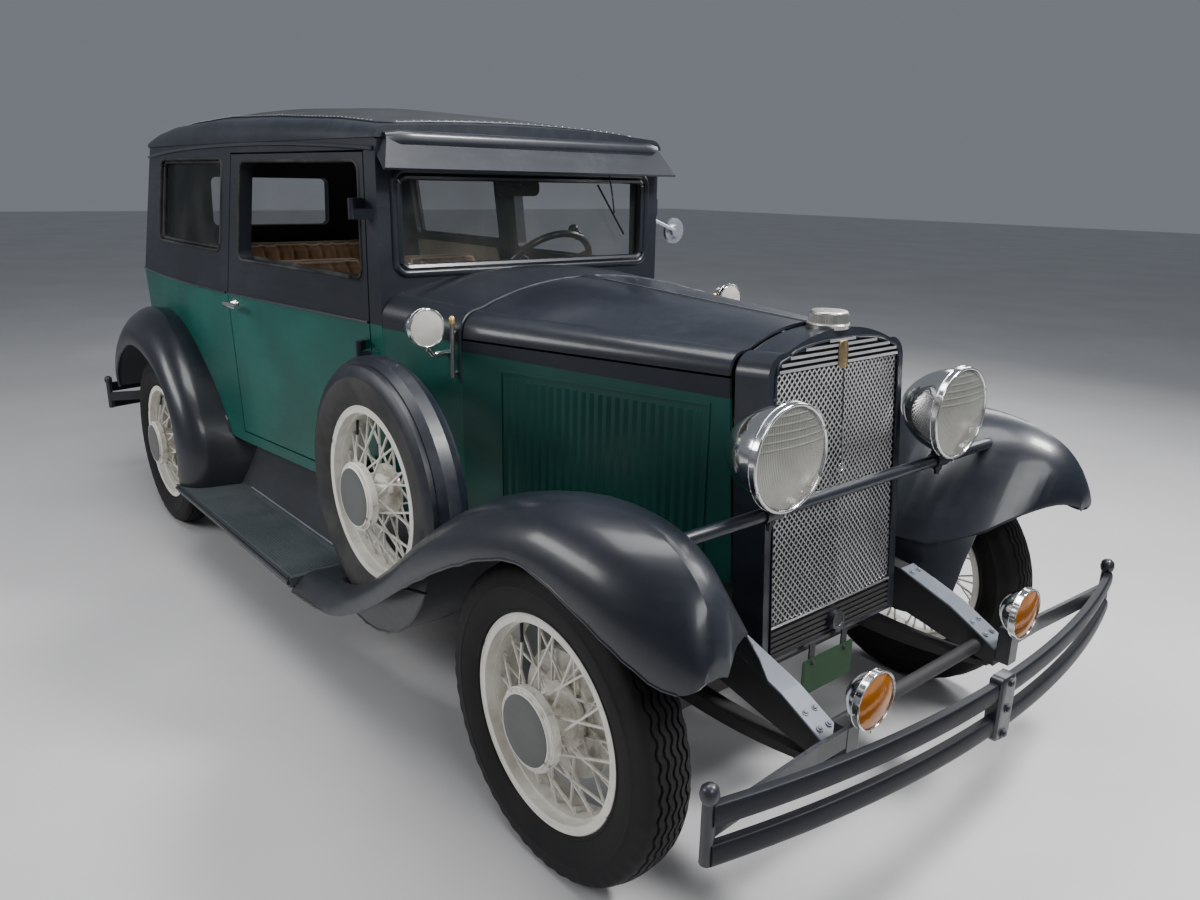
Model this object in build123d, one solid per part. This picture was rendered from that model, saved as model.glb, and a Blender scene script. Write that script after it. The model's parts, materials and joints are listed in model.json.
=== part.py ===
from build123d import *
import math
import os

# Vintage two-door sedan, about 1929. Millimetres, X forward, Y left, Z up.
# The origin is on the floor, at the middle of the overall length and width.

# Running gear
FRONT_AXLE_X = 1550.0
WHEELBASE = 2850.0
REAR_AXLE_X = FRONT_AXLE_X - WHEELBASE
HALF_TRACK = 714.0
TYRE_R = 372.0
TYRE_HALF_W = 66.0
TREAD_HALF_W = 52.0
SHOULDER_DROP = 9.0
BULGE_R = 312.0
RIM_SEAT_R = 238.0
RIM_FLANGE_R = 250.6
RIM_HALF_W = 50.0
RIM_FLANGE_T = 4.0
RIM_WALL = 7.0
RIM_WELL_R = 224.0
RIM_WELL_HALF_W = 24.0
HUB_CAP_R = 96.0
HUB_CAP_FACE = 98.0
HUB_CAP_T = 16.0
HUB_BARREL_R = 58.0
HUB_INNER_Y = -14.0
HUB_FLANGE_R = 78.0
HUB_FLANGE_T = 8.0
SPOKES_PER_ROW = 20
SPOKE_T = 5.0
SPOKE_SWEEP = 27.0
DRUM_R = 150.0
DRUM_INNER_Y = -56.0
DRUM_OUTER_Y = -18.0
BACKPLATE_R = 146.0
BACKPLATE_T = 4.0
BACKPLATE_GAP = 5.0
SPINDLE_R = 18.0
SPINDLE_END_Y = 46.0
RUN_FIT = 0.05
WHEEL_Z = TYRE_R

# Steering
KINGPIN_Y = 612.0
KINGPIN_R = 12.0
EYE_R = 27.0
EYE_HALF_H = 34.0
LUG_T = 20.0
LUG_GAP = 1.0
STEER_ARM = 150.0
STEER_ARM_Z = 284.0
STEER_PIN_R = 9.0
TIE_ROD_R = 11.0
TIE_EYE_R = 20.0
TIE_EYE_H = 26.0
COLUMN_ANGLE = 38.0
STEER_WHEEL_R = 205.0
STEER_RIM_R = 13.0
STEER_CENTRE = (118.0, 305.0, 1191.0)
COLUMN_R = 19.0
COLUMN_LEN = 1010.0
COLUMN_GAP = 5.0
SPOKE_BAR_T = 12.0

# Frame
RAIL_W = 50.0
RAIL_FRONT_Y = 345.0
RAIL_REAR_Y = 450.0
RAIL_WIDEN_FROM = 1200.0
RAIL_WIDEN_TO = 300.0
FRAME_TOP = 560.0
FRAME_BOTTOM = 430.0
KICK_TOP = 640.0
TAIL_TOP = 516.0
TAIL_H = 70.0
HORN_X = 2030.0
FRAME_END_X = -1980.0
SPRING_W = 48.0
SPRING_T = 38.0

# Body
WALL = 45.0
SKIN = 20.0
SILL_Z = 520.0
BELT_Z = 1100.0
RAIL_Z = 1640.0
BODY_FRONT_X = 460.0
DOOR_FRONT_X = 395.0
DOOR_REAR_X = -570.0
DOOR_BOTTOM_Z = 560.0
DOOR_TOP_Z = 1606.0
DOOR_GAP = 6.0
WIDEST_X = -1100.0
CORNER_R = 130.0
BACK_BOW = 22.0
WINDOW_SILL_Z = 1235.0
WINDOW_TOP_Z = 1572.0
DOOR_FRAME = 32.0
DOOR_POST = 88.0
QUARTER_FRONT_X = -650.0
QUARTER_REAR_X = -1420.0
WINDOW_R = 30.0
GLASS_T = 6.0
SCREEN_HALF_W = 515.0
SCREEN_BOTTOM_Z = 1258.0
SCREEN_TOP_Z = 1545.0
REAR_WINDOW_HALF_W = 300.0
REAR_WINDOW_BOTTOM_Z = 1285.0
REAR_WINDOW_TOP_Z = 1520.0
HOUSE_R = 436.0
HOUSE_IN_Y = 606.0
HINGE_STAND = 42.0
HINGE_R = 10.0
HINGE_PIN_R = 4.0
HINGE_H = 30.0
HINGE_HEIGHTS = (640.0, 1020.0, 1440.0)

# Roof
ROOF_LAP = 7.0
ROOF_T = 24.0
VISOR_T = 5.0

# Bonnet, cowl and radiator
COWL_SIDE_X = 825.0
COWL_CENTRE_X = 752.0
COWL_SIDE_Y = 505.0
BONNET_FRONT_X = 1612.0
BONNET_T = 8.0
BONNET_GAP = 6.0
BONNET_FRONT_GAP = 8.0
CENTRE_ROD_R = 5.0
SHOULDER_Z = 1108.0
BONNET_BOTTOM_Z = 600.0
LOUVRES = 24
LOUVRE_PITCH = 24.5
LOUVRE_FRONT_X = 1545.0
LOUVRE_LOW_Z = 670.0
LOUVRE_HIGH_Z = 1015.0
LOUVRE_OUT = 8.0
LOUVRE_W = 11.0
BORDER_GAP = 16.0
BORDER_W = 7.0
BORDER_OUT = 3.0
RADIATOR_LEAN = 4.1
RADIATOR_FOOT = (1758.0, 430.0)
SHELL_DEPTH = 98.0
SHELL_HALF_W_LOW = 272.0
SHELL_HALF_W_TOP = 263.0
SHELL_SHOULDER_H = 690.0
SHELL_TOP_H = 782.0
SHELL_CORNER_R = 62.0
SHELL_BORDER = 25.0
GUARD_RECESS = 8.0
GUARD_T = 4.0
GUARD_CREASE = 14.0
SLAT_H = 7.0
SLAT_PITCH = 14.0
TOP_SLATS = 5
LOW_SLATS = 5
CAP_R = 46.0
CAP_H = 30.0

# Fenders, boards and spares
FENDER_T = 8.0
BOARD_TOP_Z = 318.0
BOARD_T = 32.0
BOARD_IN_Y = 640.0
BOARD_OUT_Y = 860.0
BOARD_FRONT_X = 350.0
BOARD_REAR_X = -817.0
MAT_REAR_X = -600.0
MAT_T = 3.0
APRON_T = 6.0
SPARE_X = 703.0
SPARE_Y = 694.0
SPARE_Z = 672.0
COVER_R = 386.0
COVER_HALF_W = 40.0
WELL_T = 6.0
SEAT_GAP = 0.3

# Lamps and bumpers
HEADLAMP = (1844.0, 337.5, 981.0)
HEADLAMP_R = 120.0
HEADLAMP_DEPTH = 160.0
LAMP_BAR_X = 1800.0
LAMP_BAR_Z = 848.0
LAMP_BAR_R = 15.0
FOG_LAMP = (2092.0, 320.0, 522.0)
FOG_LAMP_R = 66.0
FOG_LAMP_DEPTH = 62.0
COWL_LAMP = (805.0, 600.0, 1142.0)
COWL_LAMP_R = 53.0
COWL_LAMP_DEPTH = 92.0
BUMPER_X = 2205.0
BUMPER_END_X = 2086.0
BUMPER_END_Y = 803.0
BAR_T = 14.0
BAR_H = 44.0
UPPER_BAR_Z = 484.0
LOWER_BAR_Z = 402.0
POST_R = 13.0
BALL_R = 17.0
IRON_Z = 438.0
STRAP_T = 5.0


def box(x0, x1, y0, y1, z0, z1):
    """Box between two corners."""
    middle = Pos((x0 + x1) / 2, (y0 + y1) / 2, (z0 + z1) / 2)
    return middle * Box(abs(x1 - x0), abs(y1 - y0), abs(z1 - z0))


def prism_xz(points, y0, y1):
    """Side profile of X, Z points, pulled from y0 to y1."""
    outline = Polyline(*[(x, y0, z) for x, z in points], close=True)
    return extrude(make_face(outline), amount=y1 - y0, dir=(0, 1, 0))


def prism_xy(points, z0, z1):
    """Plan of X, Y points, pulled from z0 to z1."""
    outline = Polyline(*[(x, y, z0) for x, y in points], close=True)
    return extrude(make_face(outline), amount=z1 - z0, dir=(0, 0, 1))


def prism_yz(points, x0, x1):
    """Front profile of Y, Z points, pulled from x0 to x1."""
    outline = Polyline(*[(x0, y, z) for y, z in points], close=True)
    return extrude(make_face(outline), amount=x1 - x0, dir=(1, 0, 0))


def rod(start, end, radius):
    """Round bar between two points."""
    start = Vector(*start)
    run = Vector(*end) - start
    plane = Plane(origin=start, z_dir=run.normalized())
    return extrude(plane * Circle(radius), amount=run.length)


def beam(start, end, across, width, height):
    """Rectangular bar between two points, width along the direction across."""
    start = Vector(*start)
    run = Vector(*end) - start
    plane = Plane(origin=start, x_dir=Vector(*across), z_dir=run.normalized())
    return extrude(plane * Rectangle(width, height), amount=run.length)


def turned_y(profile):
    """Solid turned about the Y axis from Y, radius points."""
    outline = Polyline(*[(0, y, r) for y, r in profile], close=True)
    return revolve(make_face(outline), axis=Axis.Y)


def other_side(shape):
    """The same piece on the right-hand side of the car."""
    return mirror(shape, about=Plane.XZ)


def both_sides(shape):
    """The piece and its mirror image, as separate solids."""
    return list(solids_of(shape)) + list(solids_of(other_side(shape)))


def solids_of(shape):
    """Every solid in a shape."""
    return shape.solids()


def largest(shape):
    """The largest solid of a cut."""
    return max(solids_of(shape), key=lambda solid: solid.volume)


def save(name, *shapes):
    """Write one node, made of one or more solids."""
    found = []
    for shape in shapes:
        found.extend(shape if isinstance(shape, list) else solids_of(shape))
    whole = found[0] if len(found) == 1 else Compound(children=found)
    whole.label = name
    export_step(whole, f"parts/{name}.step")


# Wheels and tyres, built about the origin with the outer side towards +Y

def tyre_ring():
    """Tyre with a flat tread, round shoulders and bulged walls."""
    bead_y = RIM_HALF_W - RIM_FLANGE_T - SEAT_GAP
    bead_r = RIM_SEAT_R + SEAT_GAP
    lip_r = RIM_FLANGE_R + 1.5
    crown = ThreePointArc(
        (0, -TREAD_HALF_W, TYRE_R - SHOULDER_DROP), (0, 0, TYRE_R), (0, TREAD_HALF_W, TYRE_R - SHOULDER_DROP)
    )
    wall = ThreePointArc(
        (0, TREAD_HALF_W, TYRE_R - SHOULDER_DROP), (0, TYRE_HALF_W, BULGE_R), (0, bead_y + 4, lip_r)
    )
    low = Polyline(
        (0, bead_y + 4, lip_r), (0, bead_y, lip_r), (0, bead_y, bead_r),
        (0, -bead_y, bead_r), (0, -bead_y, lip_r), (0, -bead_y - 4, lip_r)
    )
    far = ThreePointArc(
        (0, -bead_y - 4, lip_r), (0, -TYRE_HALF_W, BULGE_R), (0, -TREAD_HALF_W, TYRE_R - SHOULDER_DROP)
    )
    return revolve(make_face(crown + wall + low + far), axis=Axis.Y)


def rim():
    """Drop-centre rim with two flanges."""
    edge = RIM_HALF_W
    lip = RIM_HALF_W - RIM_FLANGE_T
    well = RIM_WELL_HALF_W
    return turned_y([
        (-edge, RIM_FLANGE_R), (-lip, RIM_FLANGE_R), (-lip, RIM_SEAT_R), (lip, RIM_SEAT_R),
        (lip, RIM_FLANGE_R), (edge, RIM_FLANGE_R), (edge, RIM_SEAT_R - RIM_WALL),
        (well, RIM_SEAT_R - RIM_WALL), (well, RIM_WELL_R), (-well, RIM_WELL_R),
        (-well, RIM_SEAT_R - RIM_WALL), (-edge, RIM_SEAT_R - RIM_WALL)
    ])


def hub(with_drum):
    """Hub shell with two spoke flanges and a dished cap."""
    cap_back = HUB_CAP_FACE - HUB_CAP_T
    profile = [
        (HUB_CAP_FACE, 0), (HUB_CAP_FACE, HUB_CAP_R * 0.72), (HUB_CAP_FACE - 5, HUB_CAP_R - 3),
        (cap_back, HUB_CAP_R), (cap_back - 12, HUB_CAP_R), (cap_back - 12, HUB_FLANGE_R),
        (cap_back - 30, HUB_BARREL_R), (HUB_INNER_Y + HUB_FLANGE_T, HUB_BARREL_R),
        (HUB_INNER_Y + HUB_FLANGE_T, HUB_FLANGE_R), (HUB_INNER_Y, HUB_FLANGE_R)
    ]
    if with_drum:
        profile += [
            (HUB_INNER_Y, HUB_BARREL_R), (DRUM_OUTER_Y, HUB_BARREL_R), (DRUM_OUTER_Y, DRUM_R),
            (DRUM_INNER_Y, DRUM_R), (DRUM_INNER_Y, SPINDLE_R + RUN_FIT)
        ]
    else:
        profile += [(HUB_INNER_Y, SPINDLE_R + RUN_FIT)]
    profile += [(SPINDLE_END_Y, SPINDLE_R + RUN_FIT), (SPINDLE_END_Y, 0)]
    return turned_y(profile)


def spoke(hub_y, hub_r, rim_y, hub_angle, rim_angle):
    """Square spoke from the hub shell to the rim's well."""
    rim_r = RIM_WELL_R + 3
    start = (hub_r * math.cos(math.radians(hub_angle)), hub_y, hub_r * math.sin(math.radians(hub_angle)))
    end = (rim_r * math.cos(math.radians(rim_angle)), rim_y, rim_r * math.sin(math.radians(rim_angle)))
    return beam(start, end, (0, 1, 0), SPOKE_T, SPOKE_T)


def wire_wheel(with_drum):
    """Rim, hub and crossed wire spokes as one solid."""
    step = 360.0 / SPOKES_PER_ROW
    outer_y = HUB_CAP_FACE - HUB_CAP_T - 16
    inner_y = HUB_INNER_Y + HUB_FLANGE_T / 2
    spokes = []
    for index in range(SPOKES_PER_ROW):
        side = 1 if index % 2 else -1
        rim_angle = step * index
        spokes.append(spoke(outer_y, HUB_FLANGE_R - 4, 6, rim_angle + side * SPOKE_SWEEP, rim_angle))
        rim_angle += step / 2
        spokes.append(spoke(inner_y, HUB_FLANGE_R - 4, -6, rim_angle + side * SPOKE_SWEEP, rim_angle))
    return rim().fuse(hub(with_drum), *spokes)


def make_wheels():
    """Four road wheels, two spares and their tyres."""
    wheel = largest(wire_wheel(True))
    spare = largest(wire_wheel(False))
    tyre = largest(tyre_ring())
    for end, axle_x in (("front", FRONT_AXLE_X), ("rear", REAR_AXLE_X)):
        place = Pos(axle_x, HALF_TRACK, WHEEL_Z)
        for piece, shape in (("wheel", wheel), ("tyre", tyre)):
            left = place * shape
            save(f"{piece}_{end}_left", left)
            save(f"{piece}_{end}_right", other_side(left))
    place = Pos(SPARE_X, SPARE_Y, SPARE_Z)
    save("spare_wheels", both_sides(place * spare))
    save("spare_tyres", both_sides(place * covered_tyre()))


def covered_tyre():
    """Spare tyre in its ribbed metal cover."""
    step_y = COVER_HALF_W * 0.45
    low = TYRE_R - 40
    cover = turned_y([
        (-COVER_HALF_W, low), (-COVER_HALF_W, COVER_R - 12), (-step_y, COVER_R),
        (step_y, COVER_R), (COVER_HALF_W, COVER_R - 12), (COVER_HALF_W, low)
    ])
    return largest(tyre_ring().fuse(cover))


# Frame, axles and springs

def rail_strip(width):
    """Plan of the left frame rail."""
    low = RAIL_FRONT_Y - width / 2
    high = RAIL_FRONT_Y + width / 2
    shift = RAIL_REAR_Y - RAIL_FRONT_Y
    return prism_xy([
        (HORN_X + 20, low), (RAIL_WIDEN_FROM, low), (RAIL_WIDEN_TO, low + shift),
        (FRAME_END_X - 20, low + shift), (FRAME_END_X - 20, high + shift),
        (RAIL_WIDEN_TO, high + shift), (RAIL_WIDEN_FROM, high), (HORN_X + 20, high)
    ], 200, 800)


HORN_TOP = ((HORN_X, 398.0), (1900.0, 466.0), (1745.0, 520.0), (1500.0, FRAME_TOP))


def rail():
    """Left frame rail with its dropped front horn and the kick-up over the rear axle."""
    side = prism_xz(list(HORN_TOP) + [
        (-760, FRAME_TOP), (-960, KICK_TOP), (-1560, KICK_TOP), (-1750, TAIL_TOP),
        (FRAME_END_X, TAIL_TOP - 10), (FRAME_END_X, TAIL_TOP - TAIL_H), (-1750, TAIL_TOP - TAIL_H),
        (-1540, 556), (-980, 556), (-720, FRAME_BOTTOM), (1500, FRAME_BOTTOM), (1720, 415), (1880, 378),
        (HORN_X, 350)
    ], 0, 800)
    return side & rail_strip(RAIL_W)


CROSS_MEMBERS = (
    # x, half width, bottom z, top z
    (1665.0, 322.0, 395.0, 422.5),
    (1600.0, 322.0, 440.0, 470.0),
    (900.0, 360.0, 432.0, 470.0),
    (-400.0, 427.0, 490.0, 540.0),
    (-1520.0, 427.0, 575.0, 630.0),
    (-1950.0, 427.0, 455.0, 495.0),
)


def make_frame():
    """Ladder frame: two rails, cross members and the tube between the horns."""
    left = rail()
    frame = left.fuse(other_side(left))
    for x, half, low, high in CROSS_MEMBERS:
        frame = frame.fuse(box(x - 25, x + 25, -half, half, low, high))
    frame = frame.fuse(rod((HORN_X - 50, -RAIL_FRONT_Y, 392), (HORN_X - 50, RAIL_FRONT_Y, 392), 17))
    save("chassis_frame", frame)


FRONT_BEAM_TOP = 308.0
REAR_TUBE_R = 40.0
SPRINGS = (
    # front x, front z, front shackle top, axle x, underside at the axle, rear x, rear z, rear shackle top, y
    (2000.0, 337.0, 352.7, FRONT_AXLE_X, FRONT_BEAM_TOP + 2.0, 1080.0, 417.7, 429.7, RAIL_FRONT_Y),
    (-740.0, 415.0, 432.6, REAR_AXLE_X, WHEEL_Z + REAR_TUBE_R + 8.3, -1900.0, 410.0, 445.7, RAIL_REAR_Y),
)
SHACKLE_HALF = 14.0


def leaf_spring(front_x, front_z, front_top, axle_x, axle_z, rear_x, rear_z, rear_top, middle_y):
    """Packed leaf spring with a shackle at each end, seated on its axle at axle_z."""
    top = SPRING_T
    y = middle_y - SPRING_W / 2
    low = ThreePointArc((front_x, y, front_z), (axle_x, y, axle_z), (rear_x, y, rear_z))
    high = ThreePointArc((front_x, y, front_z + 12), (axle_x, y, axle_z + top), (rear_x, y, rear_z + 12))
    ends = Line((front_x, y, front_z), (front_x, y, front_z + 12))
    ends += Line((rear_x, y, rear_z), (rear_x, y, rear_z + 12))
    leaf = extrude(make_face(low + high + ends), amount=SPRING_W, dir=(0, 1, 0))
    for x, z, shackle_top in ((front_x, front_z, front_top), (rear_x, rear_z, rear_top)):
        leaf = leaf.fuse(box(x - SHACKLE_HALF, x + SHACKLE_HALF, y, y + SPRING_W, z + 6, shackle_top))
    return largest(leaf)


def make_springs():
    """Four leaf springs between the frame and the axles."""
    found = []
    for row in SPRINGS:
        found.extend(both_sides(leaf_spring(*row)))
    save("leaf_springs", found)


def make_front_axle():
    """Dropped beam axle with an eye at each end for the kingpin."""
    half = KINGPIN_Y
    outline = [
        (0, FRONT_BEAM_TOP - 52), (430, FRONT_BEAM_TOP - 52), (half - 20, WHEEL_Z - 30), (half, WHEEL_Z - 26),
        (half, WHEEL_Z + 18), (half - 40, WHEEL_Z + 12), (430, FRONT_BEAM_TOP), (0, FRONT_BEAM_TOP)
    ]
    left = prism_yz(outline, FRONT_AXLE_X - 24, FRONT_AXLE_X + 24)
    eye = Pos(FRONT_AXLE_X, half, WHEEL_Z) * Cylinder(EYE_R, 2 * EYE_HALF_H)
    bore = Pos(FRONT_AXLE_X, half, WHEEL_Z) * Cylinder(KINGPIN_R + RUN_FIT, 4 * EYE_HALF_H)
    left = left.fuse(eye) - bore
    save("front_axle", left.fuse(other_side(left)))


def make_rear_axle():
    """Banjo axle with its torque tube, spring seats, brake backplates and wheel spindles."""
    inner = HALF_TRACK + DRUM_INNER_Y - BACKPLATE_GAP
    centre = Vector(REAR_AXLE_X, 0, WHEEL_Z)
    axle = rod((REAR_AXLE_X, 0, WHEEL_Z), (REAR_AXLE_X, inner - 2, WHEEL_Z), REAR_TUBE_R)
    plate = rod((REAR_AXLE_X, inner - BACKPLATE_T, WHEEL_Z), (REAR_AXLE_X, inner, WHEEL_Z), BACKPLATE_R)
    spindle = rod(
        (REAR_AXLE_X, inner - 2, WHEEL_Z), (REAR_AXLE_X, HALF_TRACK + SPINDLE_END_Y - 2, WHEEL_Z), SPINDLE_R
    )
    seat = box(
        REAR_AXLE_X - 50, REAR_AXLE_X + 50, RAIL_REAR_Y - SPRING_W / 2, RAIL_REAR_Y + SPRING_W / 2,
        WHEEL_Z + 20, WHEEL_Z + REAR_TUBE_R + 8
    )
    left = axle.fuse(plate, spindle, seat)
    ball = Pos(*centre) * Sphere(132)
    waist = Pos(*centre) * Cylinder(95, 2 * 105, rotation=(90, 0, 0))
    banjo = ball & (Pos(*centre) * Box(300, 230, 300))
    tube = rod((REAR_AXLE_X + 60, 0, WHEEL_Z + 6), (575, 0, 506), 34)
    save("rear_axle", left.fuse(other_side(left), banjo, waist, tube))


def make_engine():
    """Plain engine block with its gearbox, on the front cross members."""
    block = box(930, 1540, -130, 130, 470, 940)
    sump = box(980, 1480, -100, 100, 400, 470)
    gearbox = prism_xz([(930, 470), (930, 690), (600, 610), (600, 470)], -110, 110)
    mount = box(1580, 1622, -150, 150, 470, 500)
    arm = box(1530, 1590, -60, 60, 470, 500)
    save("engine_block", block.fuse(sump, gearbox, mount, arm))


EXHAUST_PATH = (
    (1100, -190, 400), (700, -230, 395), (-600, -250, 395), (-900, -270, 400),
    (-1120, -280, 480), (-1480, -280, 480), (-1620, -290, 348), (-2060, -300, 342)
)


def make_exhaust():
    """Exhaust pipe with its silencer, hung below the right rail."""
    path = FilletPolyline(*EXHAUST_PATH, radius=60)
    start = Plane(origin=path @ 0, z_dir=path % 0)
    pipe = sweep(start * Circle(20), path=path)
    silencer = rod((400, -243, 395), (-250, -247, 395), 62)
    hanger = box(-415, -385, -262, -238, 395, 440)
    riser = rod((1060, -194, 399.6), (1060, -194, 530), 20)
    riser = riser.fuse(rod((1060, -194, 512), (1060, -130 - SEAT_GAP, 512), 18))
    save("exhaust", pipe.fuse(silencer, hanger, riser))


def make_tank():
    """Fuel tank between the rear rails, with its filler neck."""
    half = RAIL_REAR_Y - RAIL_W / 2 - SEAT_GAP
    body = box(-1900, -1650, -half, half, 376, SILL_Z - 8)
    body = fillet(body.edges().filter_by(Axis.Y), 50)
    neck = rod((-1872, -330, 460), (-1892, -330, 560), 20)
    save("fuel_tank", body.fuse(neck))


# Body shell, doors and roof

BODY_LEVELS = (
    # z, front half width, door rear, widest, rear corner, back x
    (SILL_Z, 548.0, 650.0, 668.0, 640.0, -1815.0),
    (BELT_Z, 558.0, 669.0, 688.0, 655.0, -1850.0),
    (RAIL_Z, 556.0, 607.0, 618.0, 585.0, -1812.0),
)


def level_face(level, inset, z_shift=0.0):
    """Plan outline of the body at one height, moved in by inset."""
    z, front, post, widest, rear, back = level
    z += z_shift
    corner_x = back + CORNER_R
    corner_y = rear - CORNER_R
    reach = (CORNER_R - inset) * math.sqrt(0.5)
    right = []
    for side in (1, -1):
        f = (BODY_FRONT_X - inset, side * (front - inset), z)
        p = (DOOR_REAR_X, side * (post - inset), z)
        w = (WIDEST_X, side * (widest - inset), z)
        c = (corner_x, side * (rear - inset), z)
        m = (corner_x - reach, side * (corner_y + reach), z)
        k = (back + inset, side * corner_y, z)
        right.append((f, p, w, c, m, k))
    a, b = right
    mid_back = (back - BACK_BOW + inset, 0, z)
    edges = Line(b[0], a[0])
    edges += Line(a[0], a[1])
    edges += ThreePointArc(a[1], a[2], a[3])
    edges += ThreePointArc(a[3], a[4], a[5])
    edges += ThreePointArc(a[5], mid_back, b[5])
    edges += ThreePointArc(b[5], b[4], b[3])
    edges += ThreePointArc(b[3], b[2], b[1])
    edges += Line(b[1], b[0])
    return make_face(edges)


def body_form(inset):
    """Closed form of the whole body, moved in by inset."""
    return loft([level_face(level, inset) for level in BODY_LEVELS], ruled=True)


def window_cutter(x0, x1, z0, z1, y0, y1):
    """Window opening with round corners, cut across Y."""
    cutter = box(x0, x1, y0, y1, z0, z1)
    return fillet(cutter.edges().filter_by(Axis.Y), WINDOW_R)


def face_cutter(x0, x1, half, z0, z1):
    """Window opening with round corners, cut along X."""
    cutter = box(x0, x1, -half, half, z0, z1)
    return fillet(cutter.edges().filter_by(Axis.X), WINDOW_R)


def door_box(gap):
    """Block that the left door fills, drawn in by gap."""
    return box(DOOR_FRONT_X - gap, DOOR_REAR_X + gap, 400, 800, DOOR_BOTTOM_Z + gap, DOOR_TOP_Z - gap)


def hinge_y():
    """Distance of the hinge line from the middle of the car."""
    return skin_y(DOOR_FRONT_X, BELT_Z) + HINGE_STAND


def skin_y(x, z):
    """Half width of the straight front flank at x and z."""
    low, high = (BODY_LEVELS[0], BODY_LEVELS[1]) if z < BELT_Z else (BODY_LEVELS[1], BODY_LEVELS[2])
    part = (z - low[0]) / (high[0] - low[0])
    front = low[1] + (high[1] - low[1]) * part
    post = low[2] + (high[2] - low[2]) * part
    return front + (post - front) * (BODY_FRONT_X - x) / (BODY_FRONT_X - DOOR_REAR_X)


HINGE_X = DOOR_FRONT_X + 2.0


def hinge_half(z, on_door):
    """One knuckle of a door hinge with its strap; the pillar half carries the pin."""
    y = hinge_y()
    knuckle = Pos(HINGE_X, y, z + (HINGE_H / 2 if on_door else -HINGE_H / 2) + (SEAT_GAP if on_door else 0))
    knuckle = knuckle * Cylinder(HINGE_R, HINGE_H)
    z0 = z + SEAT_GAP if on_door else z - HINGE_H
    z1 = z0 + HINGE_H
    reach = -34 if on_door else 34
    skin = skin_y(HINGE_X + reach, z)
    strap = prism_xy([
        (HINGE_X - 7, y), (HINGE_X + 7, y), (HINGE_X + reach + 14, skin - 6), (HINGE_X + reach - 14, skin - 6)
    ], z0, z1)
    pin = Pos(HINGE_X, y, z) * Cylinder(HINGE_PIN_R, 2 * HINGE_H)
    if on_door:
        bore = Pos(HINGE_X, y, z) * Cylinder(HINGE_PIN_R + RUN_FIT, 3 * HINGE_H)
        return knuckle.fuse(strap) - bore
    return knuckle.fuse(strap, pin)


def make_body():
    """Body shell with pillars, doors with hinges, and window glass."""
    outer = body_form(0)
    ring = outer - body_form(WALL)
    opening = door_box(0)
    shell = ring - opening - other_side(opening)
    quarter = window_cutter(QUARTER_FRONT_X, QUARTER_REAR_X, WINDOW_SILL_Z + 20, WINDOW_TOP_Z + 10, 450, 800)
    shell = shell - quarter - other_side(quarter)
    screen = face_cutter(380, 520, SCREEN_HALF_W - 20, SCREEN_BOTTOM_Z, SCREEN_TOP_Z)
    dash_space = box(380, 520, -490, 490, SILL_Z - 10, SCREEN_BOTTOM_Z - 60)
    back_light = face_cutter(-1900, -1700, REAR_WINDOW_HALF_W, REAR_WINDOW_BOTTOM_Z, REAR_WINDOW_TOP_Z)
    shell = shell - screen - dash_space - back_light
    for z in HINGE_HEIGHTS:
        half = hinge_half(z, False)
        shell = shell.fuse(half, other_side(half))
    house = rod((REAR_AXLE_X, HOUSE_IN_Y, WHEEL_Z), (REAR_AXLE_X, 800, WHEEL_Z), HOUSE_R)
    lining = rod((REAR_AXLE_X, HOUSE_IN_Y - 6, WHEEL_Z), (REAR_AXLE_X, 650, WHEEL_Z), HOUSE_R + 6)
    lining = (lining - house) & box(-1800, -800, 500, 700, SILL_Z, 900) & outer
    shell = shell - house - other_side(house)
    shell = shell.fuse(lining, other_side(lining))
    save("body_shell", shell)

    pane = body_form(WALL / 2 - GLASS_T / 2) - body_form(WALL / 2 + GLASS_T / 2)
    panes = [largest(pane & quarter), largest(pane & other_side(quarter))]
    panes.append(largest(pane & screen))
    panes.append(largest(pane & back_light))
    save("window_glass", panes)

    door = ring & door_box(DOOR_GAP)
    door = door - window_cutter(
        DOOR_FRONT_X - DOOR_GAP - DOOR_FRAME, DOOR_REAR_X + DOOR_POST, WINDOW_SILL_Z, WINDOW_TOP_Z, 400, 800
    )
    for z in HINGE_HEIGHTS:
        door = door.fuse(hinge_half(z, True))
    door = door.fuse(door_handle())
    door = largest(door)
    save("door_left", door)
    save("door_right", other_side(door))


def door_handle():
    """Lever handle on the outside of the left door."""
    x = DOOR_REAR_X + 62
    z = BELT_Z - 30
    y = skin_y(x, z)
    stem = rod((x, y - 5, z), (x, y + 38, z), 8)
    rose = rod((x, y - 5, z), (x, y + 6, z), 20)
    lever = prism_xy([(x - 12, y + 30), (x - 12, y + 42), (x + 85, y + 40), (x + 100, y + 30)], z - 8, z + 8)
    return stem.fuse(rose, lever)


ROOF_ARCHES = (
    # x, half width, height at the middle, height of the shoulder, shoulder radius
    (560.0, 563.0, 1682.0, 1668.0, 44.0),
    (460.0, 563.0, 1692.0, 1674.0, 44.0),
    (150.0, 575.0, 1736.0, 1700.0, 56.0),
    (-350.0, 600.0, 1780.0, 1720.0, 64.0),
    (-850.0, 622.0, 1801.0, 1728.0, 70.0),
    (-1300.0, 622.0, 1792.0, 1720.0, 72.0),
    (-1580.0, 606.0, 1764.0, 1702.0, 72.0),
    (-1720.0, 596.0, 1732.0, 1682.0, 64.0),
    (-1790.0, 592.0, 1696.0, 1662.0, 50.0),
    (-1840.0, 590.0, 1632.0, 1622.0, 30.0),
)


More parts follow.
